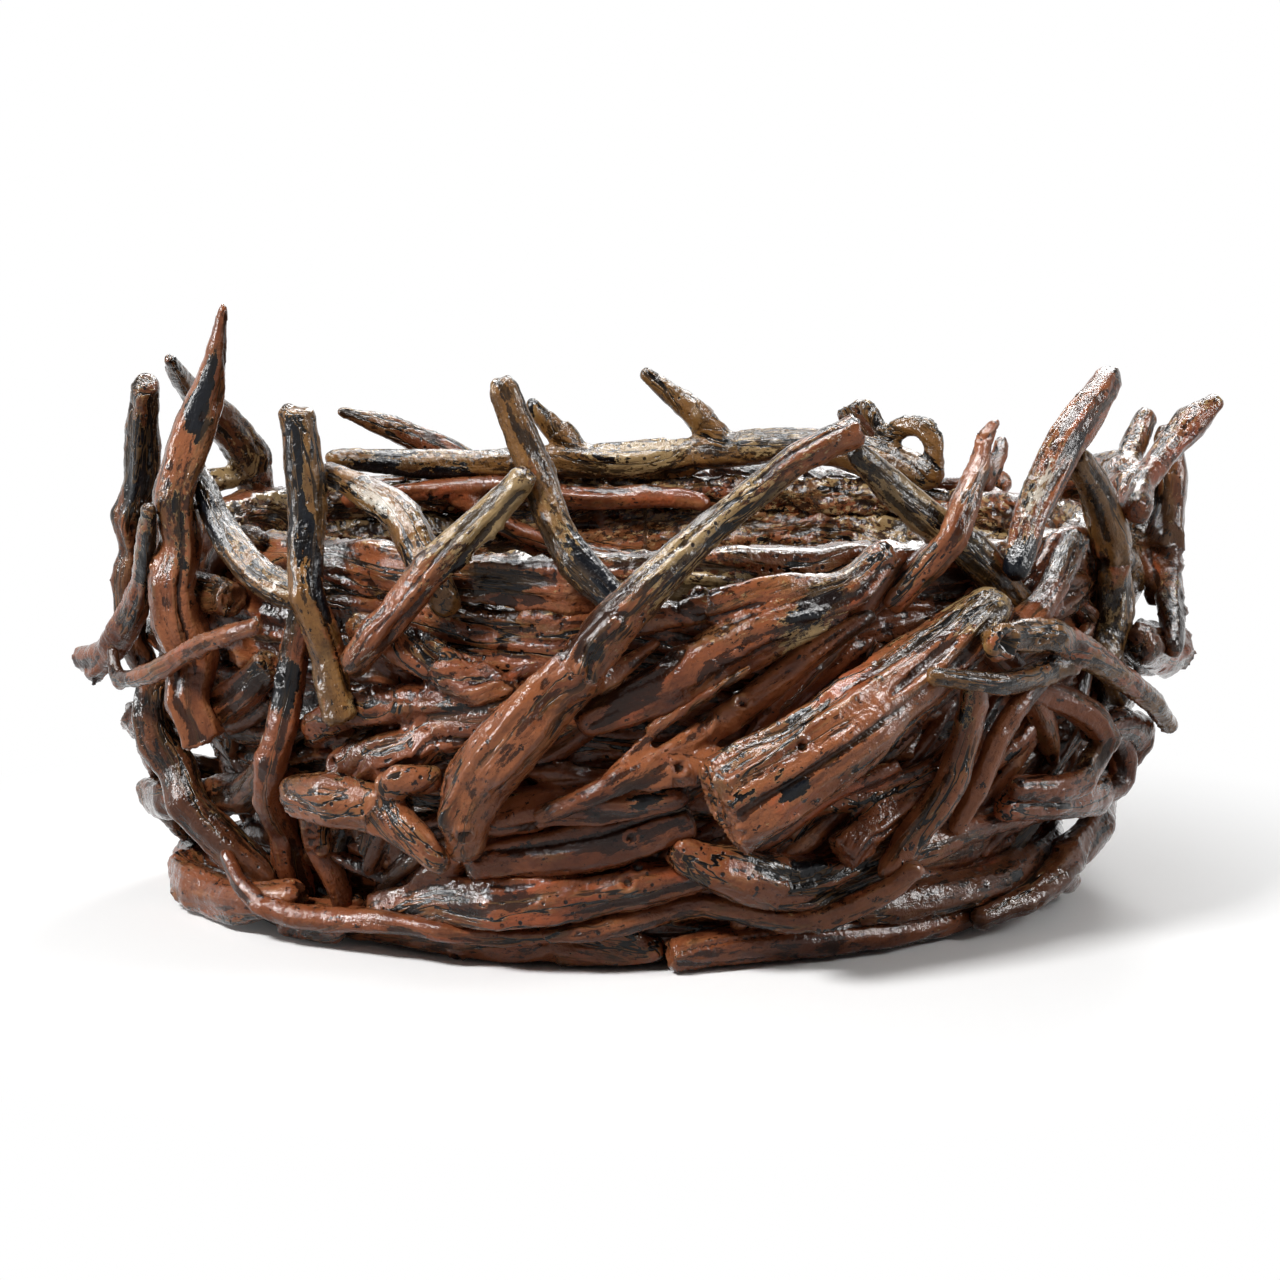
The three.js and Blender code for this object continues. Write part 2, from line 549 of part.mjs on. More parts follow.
      [[63, 1.39], [59, 1.34], [53, 1.27], [49, 1.17], [45, 1.07], [41, 0.97]], { out: 1 }),
  ]],
  ['right_rib', 'olive', [
    coil('stem', [0.8, 1.1, 1.15, 1.1, 0.9], 'round round',
      [[56, 1.2], [63, 1.07], [67, 0.92], [67, 0.77], [63, 0.68]], { out: 1 }),
    coil('strand', [0.9, 1.1, 1, 0.9], 'round round',
      [[66, 0.96], [74, 0.9], [84, 0.82], [98, 0.72]], { out: 0.8 }),
    coil('stem', [0.8, 1, 1, 0.8], 'round round', [[65, 0.72], [74, 0.57], [88, 0.49], [104, 0.52]]),
  ]],
  ['side_stub', 'dark', [
    coil('great', [0.85, 0.92, 0.7], 'cut round', [[88, 0.63, 2.5], [80, 0.66, 1.6], [68, 0.71, 0.8]]),
    coil('stem', [1.2, 1.1, 0.7], 'round round', [[84, 0.65, 2], [104, 0.62, 0.6], [128, 0.72]]),
  ]],
  ['right_rim_log', 'umber', [
    coil('branch', [0.8, 1.05, 1.1, 1.1, 0.8], 'cut round',
      [[112, 1.02, -0.2], [100, 1.07, 0.4], [87, 1.1, 0.6], [76, 1.1, 0.4], [66, 1.06, 0.4]],
      { stands: true }),
    coil('strand', [0.9, 1, 1.1, 1.3, 0.7], 'round round',
      [[70, 1.1, 0.4], [75, 1.15, 0.8], [79, 1.2, 1.3], [81, 1.25, 1.9], [82, 1.3, 2.6]]),
    coil('strand', [1, 1.1, 0.9], 'round round', [[86, 1.13, 0.6], [90, 1.18, 1], [92, 1.24, 1.4]]),
    coil('stem', [0.9, 1.1, 1, 0.8], 'round round', [[106, 1.03], [113, 0.91], [118, 0.76], [121, 0.6]]),
  ]],
  ['right_drop', 'dark', [
    coil('branch', [0.7, 0.85, 0.95, 1, 0.8], 'round round',
      [[90, 1.2, 2.1], [89, 1.1, 2.2], [88, 0.97, 2.1], [87, 0.86, 2], [86, 0.78, 1.8]], { stands: true }),
    coil('log', [0.9, 1, 0.9], 'round round', [[87, 0.83, 1.8], [92, 0.91, 1], [96, 1.0, 0.9]]),
    coil('strand', [1, 1.1, 0.8], 'round round', [[86.5, 0.84, 1.8], [79, 0.78, 1.1], [71, 0.7, 0.8]]),
  ]],
  ['side_wrap', 'umber', [
    coil('stem', [0.8, 1, 1.1, 1, 0.9, 0.6], 'round round',
      [[46, 0.36], [60, 0.33], [74, 0.3, 1.2], [90, 0.34, 1.8], [110, 0.44, 1], [136, 0.52]]),
    coil('strand', [1, 1.2, 1.2, 0.9], 'round round',
      [[80, 0.33, 1.6], [80, 0.42, 2], [72, 0.49, 1.4], [63, 0.5, 1]]),
    coil('stem', [0.9, 1, 0.8], 'round round', [[104, 0.41], [122, 0.27], [144, 0.2]]),
  ]],
  ['side_curl', 'umber', [
    coil('strand', [1, 1.1, 1.15, 1.1, 0.9], 'round round',
      [[46, 0.66], [55, 0.6], [62, 0.49], [58, 0.39], [46, 0.41]]),
  ]],
  ['right_outer_foot', 'dark', [
    coil('stem', [0.8, 1.05, 1.05, 0.9, 0.7], 'round round',
      [[50, 0.06], [62, 0.11, 1.4], [76, 0.18, 2], [96, 0.24, 2], [120, 0.28, 0.6], [146, 0.34]]),
    coil('strand', [0.9, 1, 0.8], 'round round',
      [[64, 0.12, 1.4], [76, 0.06, 1.6], [92, 0.06, 1], [108, 0.09]]),
  ]],
  ['long_drop', 'terracotta', [
    coil('strand', [0.9, 1, 1.1, 1.1, 0.9], 'round round',
      [[34, 0.72], [35, 0.59], [34, 0.46], [31, 0.34], [28, 0.25]], { out: 1.6 }),
  ]],
  ['thin_foot_twig', 'terracotta', [
    coil('twig', [0.8, 1, 1.1, 1.1, 1.1, 0.85], 'round round',
      [[-12, 0.1], [-5, 0.12], [2, 0.15], [7, 0.17], [13, 0.15], [20, 0.13], [25, 0.18], [30, 0.26]]),
  ]],
  ['right_bracket', 'terracotta', [
    coil('twig', [0.95, 0.95, 1, 1.05, 0.75], 'round round',
      [[47, 0.68], [43, 0.62], [41, 0.56], [40, 0.49], [39, 0.41], [38, 0.33]], { out: 1.6 }),
  ]],
  ['right_whip', 'olive', [
    coil('strand', [1, 1.15, 1.1, 0.9, 0.7], 'round cut',
      [[35, 0.82], [44, 0.81], [52, 0.74], [62, 0.64], [78, 0.47, 2.8]], { out: 2 }),
    coil('twig', [0.9, 1.05, 1, 0.8], 'round round', [[50, 0.72], [45, 0.71], [37, 0.71], [28, 0.75]]),
  ]],
  // Upright pieces along the back of the rim
  ['rear_left_cross', 'dark', [
    coil('branch', [0.3, 0.6, 1, 1.1, 0.9], 'round round',
      [[-88, 1.4], [-100, 1.3], [-110, 1.2], [-118, 1.08], [-124, 0.92]], { out: 0.4 }),
    coil('strand', [0.8, 1, 0.9], 'round round', [[-119, 1.04], [-110, 1.02], [-98, 1.0], [-88, 0.93]]),
  ]],
  ['back_stub', 'dark', [
    coil('stem', [0.95, 0.95, 1, 0.9], 'cut round',
      [[-209, 1.19], [-211, 1.12], [-214, 1.02], [-218, 0.86]]),
  ]],
  // The back, in the manner of the front
  ['back_low_runner', 'umber', [
    coil('log', [0.6, 0.9, 0.9, 0.85, 0.6], 'round round',
      [[-250, 0.13], [-232, 0.17], [-214, 0.2], [-197, 0.21], [-178, 0.2], [-158, 0.21]]),
    coil('branch', [0.9, 1, 0.8], 'round cut', [[-224, 0.2], [-209, 0.33], [-192, 0.38], [-174, 0.4]]),
    coil('strand', [0.9, 1, 0.8], 'round round', [[-234, 0.16], [-218, 0.05], [-200, 0.04], [-182, 0.04]]),
  ]],
  ['back_upper_runner', 'dark', [
    coil('branch', [0.6, 0.95, 1.1, 1.05, 0.7], 'round round',
      [[-262, 0.9], [-246, 0.84], [-228, 0.82], [-210, 0.85], [-190, 0.8], [-168, 0.84]]),
    coil('stem', [0.9, 1.15, 1, 0.8], 'round round',
      [[-240, 0.83], [-226, 0.7], [-210, 0.66], [-192, 0.68]]),
    coil('stem', [0.9, 1, 0.6], 'round point', [[-218, 0.83], [-206, 0.95], [-190, 0.98]]),
    coil('stem', [0.9, 1, 0.8], 'round round', [[-184, 0.8], [-175, 0.92], [-163, 0.95]]),
    coil('stem', [0.9, 1, 0.8], 'round round', [[-252, 0.87], [-241, 0.68], [-233, 0.46]]),
  ]],
  ['back_middle_runner', 'umber', [
    coil('log', [0.6, 0.95, 1, 0.7], 'cut round',
      [[-160, 0.62], [-176, 0.56], [-194, 0.53], [-214, 0.46], [-236, 0.46]]),
    coil('strand', [0.9, 1.1, 0.8], 'round round', [[-184, 0.55], [-200, 0.42], [-218, 0.34]]),
    coil('stem', [0.9, 1.1, 0.9], 'round round', [[-170, 0.58], [-154, 0.69], [-137, 0.7], [-118, 0.66]]),
  ]],
  ['back_brace', 'terracotta', [
    coil('log', [0.6, 1, 1.05, 0.85], 'round cut', [[-228, 0.98], [-214, 0.76], [-202, 0.6], [-189, 0.46]]),
    coil('stem', [1, 1.1, 0.9], 'round round', [[-212, 0.72], [-222, 0.56], [-236, 0.44], [-250, 0.4]]),
  ]],
  ['back_diagonal', 'umber', [
    coil('great', [0.4, 0.65, 0.9, 1, 0.85], 'cut round',
      [[-152, 1.0], [-163, 0.84], [-176, 0.66], [-189, 0.46], [-202, 0.28]]),
    coil('stem', [1.1, 1, 0.6], 'round point', [[-178, 0.6], [-166, 0.5], [-150, 0.44]]),
    coil('branch', [0.9, 1, 0.8], 'round round', [[-168, 0.77], [-154, 0.8], [-136, 0.82]]),
    coil('stem', [0.9, 1, 0.8], 'round round', [[-186, 0.5], [-172, 0.36], [-154, 0.3], [-138, 0.26]]),
    coil('stem', [0.8, 1, 0.8], 'round round', [[-155, 0.94], [-138, 0.94], [-119, 0.87]]),
  ]],
];

const material = (glaze) => new THREE.MeshStandardMaterial(GLAZE[glaze]);

function addMesh(group, name, glaze, geometry) {
  const mesh = new THREE.Mesh(geometry, material(glaze));
  mesh.name = name;
  group.add(mesh);
}

function buildWall(group) {
  const slabTop = () => SLAB_THICKNESS + LUTE_GAP;
  const courseNames = ['lower_course', 'middle_course', 'upper_course', 'rim_course'];
  addMesh(group, 'base_slab', 'umber', baseSlab());
  courseNames.forEach((name, i) => {
    const bottom = i === 0 ? slabTop : (azimuth) => seamHeight(i - 1, azimuth) + LUTE_GAP / 2;
    const top = i === COURSE_SEAMS.length ? rimTop : (azimuth) => seamHeight(i, azimuth) - LUTE_GAP / 2;
    addMesh(group, name, 'umber', course(bottom, top));
  });
}

// The room that the wall and the slab take up, with the clearance around them
function wallRoom() {
  const seams = [SLAB_THICKNESS, ...COURSE_SEAMS, WALL_HEIGHT];
  const middles = seams.slice(1).map((seam, i) => (seam + seams[i]) / 2);
  const heights = [0, ...seams, ...middles].sort((a, b) => a - b);
  const shares = heights.map((z) => z / WALL_HEIGHT);
  const offsets = () => [COURSE_BULGE_OUT + LUTE_GAP, COURSE_BULGE_IN + LUTE_GAP];
  return toSolid(ring(() => 0, (azimuth) => rimTop(azimuth) + LUTE_GAP, shares, offsets));
}

function buildBranches(group, wall) {
  const laid = [];
  const placed = [];
  for (const [name, glaze, coils] of BRANCHES) {
    let carrier = null;
    let solid = null;
    let grown = null;
    const own = [];
    for (const branch of coils) {
      const samples = lay(branch, laid, carrier);
      carrier ??= samples;
      own.push(...samples);
      const body = toSolid(tube(branch, samples));
      const room = toSolid(tube(branch, samples, LUTE_GAP));
      solid = solid ? solid.add(body) : body;
      grown = grown ? grown.add(room) : room;
    }
    laid.push(...own);
    solid = solid.subtract(wall);
    for (const other of placed) {
      if (touches(solid, other)) solid = solid.subtract(other);
    }
    placed.push(grown);
    addMesh(group, name, glaze, toGeometry(mainBody(solid)));
  }
}

function touches(a, b) {
  const p = a.boundingBox();
  const q = b.boundingBox();
  return [0, 1, 2].every((axis) => p.min[axis] < q.max[axis] && q.min[axis] < p.max[axis]);
}

const bowl = new THREE.Group();
buildWall(bowl);
buildBranches(bowl, wallRoom());

export default bowl;
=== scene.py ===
"""The looks of a hand-built ceramic bowl: clay branches luted round an oval wall, under gloss glaze.

The CAD solids are the frame. Each branch's solid is copied, remeshed, rounded, and carved with
grooves, creases, pits and knots that follow its own centreline. Thinner strands, which the CAD
leaves out, lie between the branches. The scene is in metres. The clay work is in millimetres.
"""

import heapq
import json
import logging
import math
from dataclasses import dataclass, field
from enum import Enum
from typing import ClassVar

import bmesh
import bpy
import numpy as np
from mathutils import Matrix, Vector
from mathutils.bvhtree import BVHTree


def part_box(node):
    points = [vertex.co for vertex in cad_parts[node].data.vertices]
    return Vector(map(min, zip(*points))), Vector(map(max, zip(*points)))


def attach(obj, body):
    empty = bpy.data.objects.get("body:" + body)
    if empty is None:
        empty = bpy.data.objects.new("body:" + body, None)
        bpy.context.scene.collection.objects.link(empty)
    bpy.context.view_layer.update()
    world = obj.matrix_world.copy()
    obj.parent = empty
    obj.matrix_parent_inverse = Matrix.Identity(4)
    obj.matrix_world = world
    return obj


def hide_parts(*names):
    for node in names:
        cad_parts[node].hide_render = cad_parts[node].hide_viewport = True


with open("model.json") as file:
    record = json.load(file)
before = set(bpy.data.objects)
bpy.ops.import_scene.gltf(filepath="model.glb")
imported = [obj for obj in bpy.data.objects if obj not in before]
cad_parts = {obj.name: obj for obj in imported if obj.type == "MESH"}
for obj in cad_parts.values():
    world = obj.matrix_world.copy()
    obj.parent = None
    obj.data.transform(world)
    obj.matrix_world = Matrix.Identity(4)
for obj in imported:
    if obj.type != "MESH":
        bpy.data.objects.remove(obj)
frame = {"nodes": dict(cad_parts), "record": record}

LOG = logging.getLogger("bowl")
MM = 0.001
Socket = bpy.types.NodeSocket
Face = bmesh.types.BMFace


# Geometry helpers


class Noise:
    """Smooth, repeatable noise in space, from -1 to 1."""

    def __init__(self, seed: int) -> None:
        self.seed = seed

    def corner(self, cell: np.ndarray) -> np.ndarray:
        """A repeatable random value for each whole-numbered cell, from -1 to 1."""
        mixed = cell[:, 0] * 374761393 + cell[:, 1] * 668265263 + cell[:, 2] * 1442695041
        mixed = (mixed + self.seed * 974634777) & 0xFFFFFFFF
        mixed = ((mixed ^ (mixed >> 13)) * 1274126177) & 0xFFFFFFFF
        return ((mixed ^ (mixed >> 16)) & 0xFFFF) / 32767.5 - 1.0

    def at(self, points: np.ndarray) -> np.ndarray:
        """Noise at each point, with features about one unit wide.

        Args:
            points: An (n, 3) array.

        Returns:
            An (n,) array of values from -1 to 1.
        """
        base = np.floor(points).astype(np.int64)
        part = points - base
        blend = part * part * part * (part * (part * 6 - 15) + 10)
        total = np.zeros(len(points))
        for offset in np.ndindex(2, 2, 2):
            weight = np.ones(len(points))
            for axis in range(3):
                weight *= blend[:, axis] if offset[axis] else 1 - blend[:, axis]
            total += weight * self.corner(base + np.array(offset))
        return total

    def layered(self, points: np.ndarray, octaves: int = 3) -> np.ndarray:
        """Noise with finer layers on top of the coarse one."""
        total = np.zeros(len(points))
        share, scale, weight = 1.0, 1.0, 0.0
        for octave in range(octaves):
            total += share * self.at(points * scale + 17.3 * octave)
            weight += share
            share *= 0.5
            scale *= 2.03
        return total / weight

    def ridges(self, points: np.ndarray, octaves: int = 2) -> np.ndarray:
        """Noise with sharp crests and rounded valleys, from -1 to 1."""
        return 1.0 - 2.0 * np.minimum(1.0, 2.2 * np.abs(self.layered(points, octaves)))


def smoothstep(low: float, high: float, value: np.ndarray) -> np.ndarray:
    """A soft step from 0 at low to 1 at high."""
    share = np.clip((value - low) / (high - low), 0, 1)
    return share * share * (3 - 2 * share)


def unit(vectors: np.ndarray) -> np.ndarray:
    """Vectors of length one, along the last axis."""
    return vectors / np.maximum(np.linalg.norm(vectors, axis=-1, keepdims=True), 1e-9)


def points_of(mesh: bpy.types.Mesh) -> np.ndarray:
    """A mesh's vertices in millimetres, as an (n, 3) array."""
    flat = np.empty(len(mesh.vertices) * 3)
    mesh.vertices.foreach_get("co", flat)
    return flat.reshape(-1, 3) / MM


def put_points(mesh: bpy.types.Mesh, points: np.ndarray) -> None:
    """Moves a mesh's vertices to points in millimetres."""
    mesh.vertices.foreach_set("co", (points * MM).ravel())
    mesh.update()


def normals_of(mesh: bpy.types.Mesh) -> np.ndarray:
    """A mesh's vertex normals, as an (n, 3) array."""
    flat = np.empty(len(mesh.vertices) * 3)
    mesh.vertex_normals.foreach_get("vector", flat)
    return flat.reshape(-1, 3)


def edges_of(mesh: bpy.types.Mesh) -> np.ndarray:
    """A mesh's edges, as an (n, 2) array of vertex indices."""
    flat = np.empty(len(mesh.edges) * 2, np.int64)
    mesh.edges.foreach_get("vertices", flat)
    return flat.reshape(-1, 2)


def remeshed(mesh: bpy.types.Mesh, voxel: float) -> bpy.types.Mesh:
    """A copy of a closed mesh as an even net of quads.

    Args:
        mesh: The closed mesh to copy.
        voxel: The net's spacing in millimetres.

    Returns:
        The new mesh.
    """
    draft = bpy.data.objects.new("draft", mesh)
    bpy.context.scene.collection.objects.link(draft)
    modifier = draft.modifiers.new("Remesh", "REMESH")
    modifier.mode = "VOXEL"
    modifier.voxel_size = voxel * MM
    graph = bpy.context.evaluated_depsgraph_get()
    result = bpy.data.meshes.new_from_object(draft.evaluated_get(graph))
    bpy.data.objects.remove(draft)
    return result


def relaxed(values: np.ndarray, edges: np.ndarray, rounds: int) -> np.ndarray:
    """Each vertex's values evened out with its neighbours'.

    Args:
        values: An (n, k) array, such as places.
        edges: The pairs of vertices that are neighbours.
        rounds: How often each vertex moves half way to its neighbours' mean.

    Returns:
        An (n, k) array.
    """
    count = len(values)
    degree = np.maximum(np.bincount(edges.ravel(), minlength=count), 1)
    lone = np.bincount(edges.ravel(), minlength=count) == 0
    result = values.copy()
    for _ in range(rounds):
        for axis in range(values.shape[1]):
            column = result[:, axis]
            total = np.bincount(edges[:, 0], column[edges[:, 1]], count)
            total += np.bincount(edges[:, 1], column[edges[:, 0]], count)
            mean = np.where(lone, column, total / degree)
            result[:, axis] = column + 0.5 * (mean - column)
    return result


def rounded(points: np.ndarray, normals: np.ndarray, edges: np.ndarray, rounds: int) -> np.ndarray:
    """Points with their edges and flats rounded off, and the form as thick as it was.

    Args:
        points: The vertices.
        normals: Their normals.
        edges: The pairs of vertices that are neighbours.
        rounds: How far the rounding reaches.

    Returns:
        The moved points.
    """
    soft = relaxed(points, edges, rounds)
    lost = ((points - soft) * normals).sum(axis=1, keepdims=True)
    return soft + normals * relaxed(lost, edges, rounds)


def frame_copy(node: str) -> bpy.types.Mesh:
    """A copy of a CAD node's mesh with its coincident vertices merged."""
    work = bmesh.new()
    work.from_mesh(frame["nodes"][node].data)
    bmesh.ops.remove_doubles(work, verts=work.verts, dist=0.002 * MM)
    mesh = bpy.data.meshes.new(node)
    work.to_mesh(mesh)
    work.free()
    return mesh


class Skeleton:
    """Centrelines as segments, each end with its distance along the clay and a side direction."""

    # Slanted directions, from which the first side direction is taken
    LINE_SIDE = np.array([0.3, 0.2, 0.9])
    SURFACE_SIDE = np.array([0.31, 0.25, 0.92])
    # A ring of the surface with fewer vertices is a scrap and not a stretch of the branch
    LEAST_RING = 5
    POINTS_AT_ONCE = 8192

    def __init__(self) -> None:
        self.starts: list[np.ndarray] = []
        self.ends: list[np.ndarray] = []
        self.runs: list[tuple[float, float]] = []
        self.sides: list[tuple[np.ndarray, np.ndarray]] = []

    def add(
        self, start: np.ndarray, end: np.ndarray, run: float, side: np.ndarray
    ) -> tuple[float, np.ndarray]:
        """Adds a segment.

        Args:
            start: Its first point.
            end: Its last point.
            run: The distance along the clay at its first point.
            side: The side direction at its first point.

        Returns:
            The distance along the clay and the side direction at its last point.
        """
        span = end - start
        length = float(np.linalg.norm(span))
        along = span / max(length, 1e-6)
        turned = unit(side - along * side.dot(along))
        self.starts.append(start)
        self.ends.append(end)
        self.runs.append((run, run + length))
        self.sides.append((side, turned))
        return run + length, turned

    def add_line(self, line: np.ndarray, run: float) -> None:
        """Adds a centreline of several points."""
        side = unit(np.cross(line[1] - line[0], self.LINE_SIDE))
        for start, end in zip(line[:-1], line[1:]):
            run, side = self.add(start, end, run, side)

    def grain(self, points: np.ndarray) -> np.ndarray:
        """Each point's two coordinates across the clay and its distance along it, in millimetres."""
        start, end = np.array(self.starts), np.array(self.ends)
        span = end - start
        squared = np.maximum((span * span).sum(axis=1), 1e-9)
        result = np.empty_like(points)
        for low in range(0, len(points), self.POINTS_AT_ONCE):
            part = points[low : low + self.POINTS_AT_ONCE]
            offset = part[:, None] - start[None]
            share = np.clip((offset * span).sum(axis=2) / squared, 0, 1)
            gap = np.linalg.norm(offset - share[:, :, None] * span, axis=2)
            best = gap.argmin(axis=1)
            rows = np.arange(len(part))
            share = share[rows, best]
            away = part - start[best] - share[:, None] * span[best]
            first = np.array([s[0] for s in self.sides])[best]
            last = np.array([s[1] for s in self.sides])[best]
            side = unit(first + share[:, None] * (last - first))
            across = np.cross(unit(span[best]), side)
            runs = np.array(self.runs)[best]
            along = runs[:, 0] + share * (runs[:, 1] - runs[:, 0])
            places = [(away * side).sum(axis=1), (away * across).sum(axis=1), along]
            result[low : low + self.POINTS_AT_ONCE] = np.stack(places, axis=1)
        return result

    @staticmethod
    def _walk(count: int, edges: np.ndarray, lengths: np.ndarray, first: int) -> np.ndarray:
        """Each vertex's distance from the first one along the edges."""
        near: list[list[tuple[int, float]]] = [[] for _ in range(count)]
        for (a, b), length in zip(edges.tolist(), lengths.tolist()):
            near[a].append((b, length))
            near[b].append((a, length))
        reached = [math.inf] * count
        reached[first] = 0.0
        queue = [(0.0, first)]
        while queue:
            run, here = heapq.heappop(queue)
            if run > reached[here]:
                continue
            for other, length in near[here]:
                if run + length < reached[other]:
                    reached[other] = run + length
                    heapq.heappush(queue, (run + length, other))
        return np.array(reached)

    @staticmethod
    def _groups(count: int, edges: np.ndarray) -> np.ndarray:
        """A group number for each vertex, the same for vertices that edges join."""
        parent = list(range(count))

        def root(item: int) -> int:
            while parent[item] != item:
                parent[item] = parent[parent[item]]
                item = parent[item]
            return item

        for a, b in edges.tolist():
            parent[root(a)] = root(b)
        return np.unique([root(i) for i in range(count)], return_inverse=True)[1]

    @classmethod
    def of_surface(cls, mesh: bpy.types.Mesh, band: float) -> "Skeleton":
        """The centrelines of a branching tube.

        Args:
            mesh: The tube's closed surface, as an even net of quads.
            band: The centrelines' step in millimetres.

        Returns:
            The skeleton, from one tip to all the others.
        """
        points = points_of(mesh)
        pairs = [edges_of(mesh)]
        corners = np.array([p.vertices[:] for p in mesh.polygons if len(p.vertices) == 4], np.int64)
        pairs += [corners[:, [0, 2]], corners[:, [1, 3]]]
        edges = np.concatenate(pairs)
        lengths = np.linalg.norm(points[edges[:, 0]] - points[edges[:, 1]], axis=1)
        rough = cls._walk(len(points), edges, lengths, 0)
        rough[np.isinf(rough)] = 0
        tip = int(rough.argmax())
        run = cls._walk(len(points), edges, lengths, tip)
        kept = np.isfinite(run)
        label = np.where(kept, np.floor(np.where(kept, run, 0) / band), -1).astype(int)
        same = label[edges[:, 0]] == label[edges[:, 1]]
        group = cls._groups(len(points), edges[same])
        count = group.max() + 1
        size = np.bincount(group, minlength=count)
        centres = np.stack([np.bincount(group, points[:, k], count) / size for k in range(3)], axis=1)
        links: dict[int, set[int]] = {i: set() for i in range(count)}
        for a, b in np.unique(group[edges[~same]], axis=0).tolist():
            if min(size[a], size[b]) >= cls.LEAST_RING and a != b:
                links[a].add(b)
                links[b].add(a)
        smooth = centres.copy()
        for here, others in links.items():
            if len(others) == 2:
                smooth[here] = 0.5 * centres[here] + 0.25 * sum(centres[o] for o in others)
        skeleton = cls()
        first = int(group[tip])
        seen = {first}
        queue = [(first, 0.0, cls.SURFACE_SIDE)]
        while queue:
            here, along, side = queue.pop(0)
            for other in sorted(links[here] - seen):
                seen.add(other)
                queue.append((other, *skeleton.add(smooth[here], smooth[other], along, side)))
        if not skeleton.starts:
            skeleton.add(points.min(axis=0), points.max(axis=0), 0.0, np.array([0.0, 0.0, 1.0]))
        return skeleton


class CutEnds:
    """The flat ends of a branch, where it was cut square to its length with a wire or a knife.

    LEAST_AREA is in square millimetres, MARGIN and EDGE in millimetres. SQUARE and COPLANAR are
    cosines of the angles between faces that meet at an end's edge and within its flat.
    """

    LEAST_AREA = 14.0
    SQUARE = 0.36
    COPLANAR = 0.9995
    MARGIN = 2.0
    EDGE = 2.2

    def __init__(self, solid: bpy.types.Mesh) -> None:
        self.ends: list[tuple[np.ndarray, np.ndarray, float]] = []
        work = bmesh.new()
        work.from_mesh(solid)
        seen: set[int] = set()
        for face in work.faces:
            if face.index not in seen:
                self._measure(*self._plane(face, seen))
        work.free()

    def _plane(self, first: Face, seen: set[int]) -> tuple[list[Face], list[float]]:
        """The faces that lie in one plane with a face, and how their neighbours turn away from it."""
        seen.add(first.index)
        queue, group, turns = [first], [], []
        while queue:
            here = queue.pop()
            group.append(here)
            for other in {f for edge in here.edges for f in edge.link_faces if f is not here}:
                turn = here.normal.dot(other.normal)
                if turn < self.COPLANAR:
                    turns.append(abs(turn))
                elif other.index not in seen:
                    seen.add(other.index)
                    queue.append(other)
        return group, turns

    def _measure(self, group: list[Face], turns: list[float]) -> None:
        """Keeps a group of faces as an end if it is large and meets its neighbours squarely."""
        area = sum(face.calc_area() for face in group) / MM**2
        if len(group) < 3 or area < self.LEAST_AREA or np.mean(turns) > self.SQUARE:
            return
        corners = np.array([v.co for face in group for v in face.verts]) / MM
        centre = corners.mean(axis=0)
        reach = float(np.linalg.norm(corners - centre, axis=1).max())
        self.ends.append((centre, np.array(group[0].normal), reach))

    def faces(self, points: np.ndarray, depth: float) -> np.ndarray:
        """The number of the end on whose face each point lies, or -1."""
        label = np.full(len(points), -1)
        for index, (centre, normal, reach) in enumerate(self.ends):
            level, across = self._place(points, centre, normal)
            label[(np.abs(level) < depth) & (across < reach + depth)] = index
        return label

    def squared(self, points: np.ndarray, before: np.ndarray, depth: float = 5.0) -> np.ndarray:
        """Points near an end put back to where they were along the clay, so that its edge stays crisp."""
        result = points.copy()
        for centre, normal, reach in self.ends:
            level, across = self._place(before, centre, normal)
            near = (across < reach + self.MARGIN) & (level < self.MARGIN) & (level > -depth)
            share = smoothstep(-depth, -0.3 * depth, level) * near
            result += normal * (((before - result) @ normal) * share)[:, None]
        return result

    def outward(self, points: np.ndarray, normals: np.ndarray, label: np.ndarray) -> np.ndarray:
        """The directions in which carving moves the points: square to an end's axis round its edge."""
        result = normals.copy()
        for index, (centre, normal, reach) in enumerate(self.ends):
            level, across = self._place(points, centre, normal)
            rim = (label != index) & (across < reach + self.MARGIN) & (np.abs(level) < self.EDGE)
            flat = normals[rim] - (normals[rim] @ normal)[:, None] * normal
            result[rim] = unit(flat)
            result[label == index] = normal
        return result

    @staticmethod
    def _place(points: np.ndarray, centre: np.ndarray, normal: np.ndarray) -> tuple[np.ndarray, np.ndarray]:
        """Each point's height over an end's face and its distance from the end's middle."""
        offset = points - centre
        level = offset @ normal
        return level, np.linalg.norm(offset - level[:, None] * normal, axis=1)


# The photograph's view, and what it shows at single places


@dataclass(frozen=True)
class PhotoView:
    """Where the photograph was taken from. Lengths are in metres, and the picture is square."""

    eye: tuple[float, float, float] = (-0.002, -1.185, 0.283)
    target: tuple[float, float, float] = (-0.002, 0.0, 0.086)
    lens: float = 96.4
    film: float = 36.0
    pixels: int = 1280

    def ray(self, pixel: tuple[float, float]) -> tuple[Vector, Vector]:
        """The start and direction of the line of sight through a pixel."""
        eye, ahead = Vector(self.eye), (Vector(self.target) - Vector(self.eye)).normalized()
        right = ahead.cross(Vector((0, 0, 1))).normalized()
        above = right.cross(ahead)
        focal = self.lens / self.film * self.pixels
        across, down = (v - self.pixels / 2 for v in pixel)
        return eye, (ahead * focal + right * across - above * down).normalized()


class Kind(Enum):
    """What an accent of the glaze or the clay is. The value is its channel in the marks."""

    DARK = 0
    OLIVE = 1
    # The pale kind is partly milky glaze and partly painted highlights and reflections
    PALE_AND_HIGHLIGHT = 2
    RUST = 3
    KNOT = 4


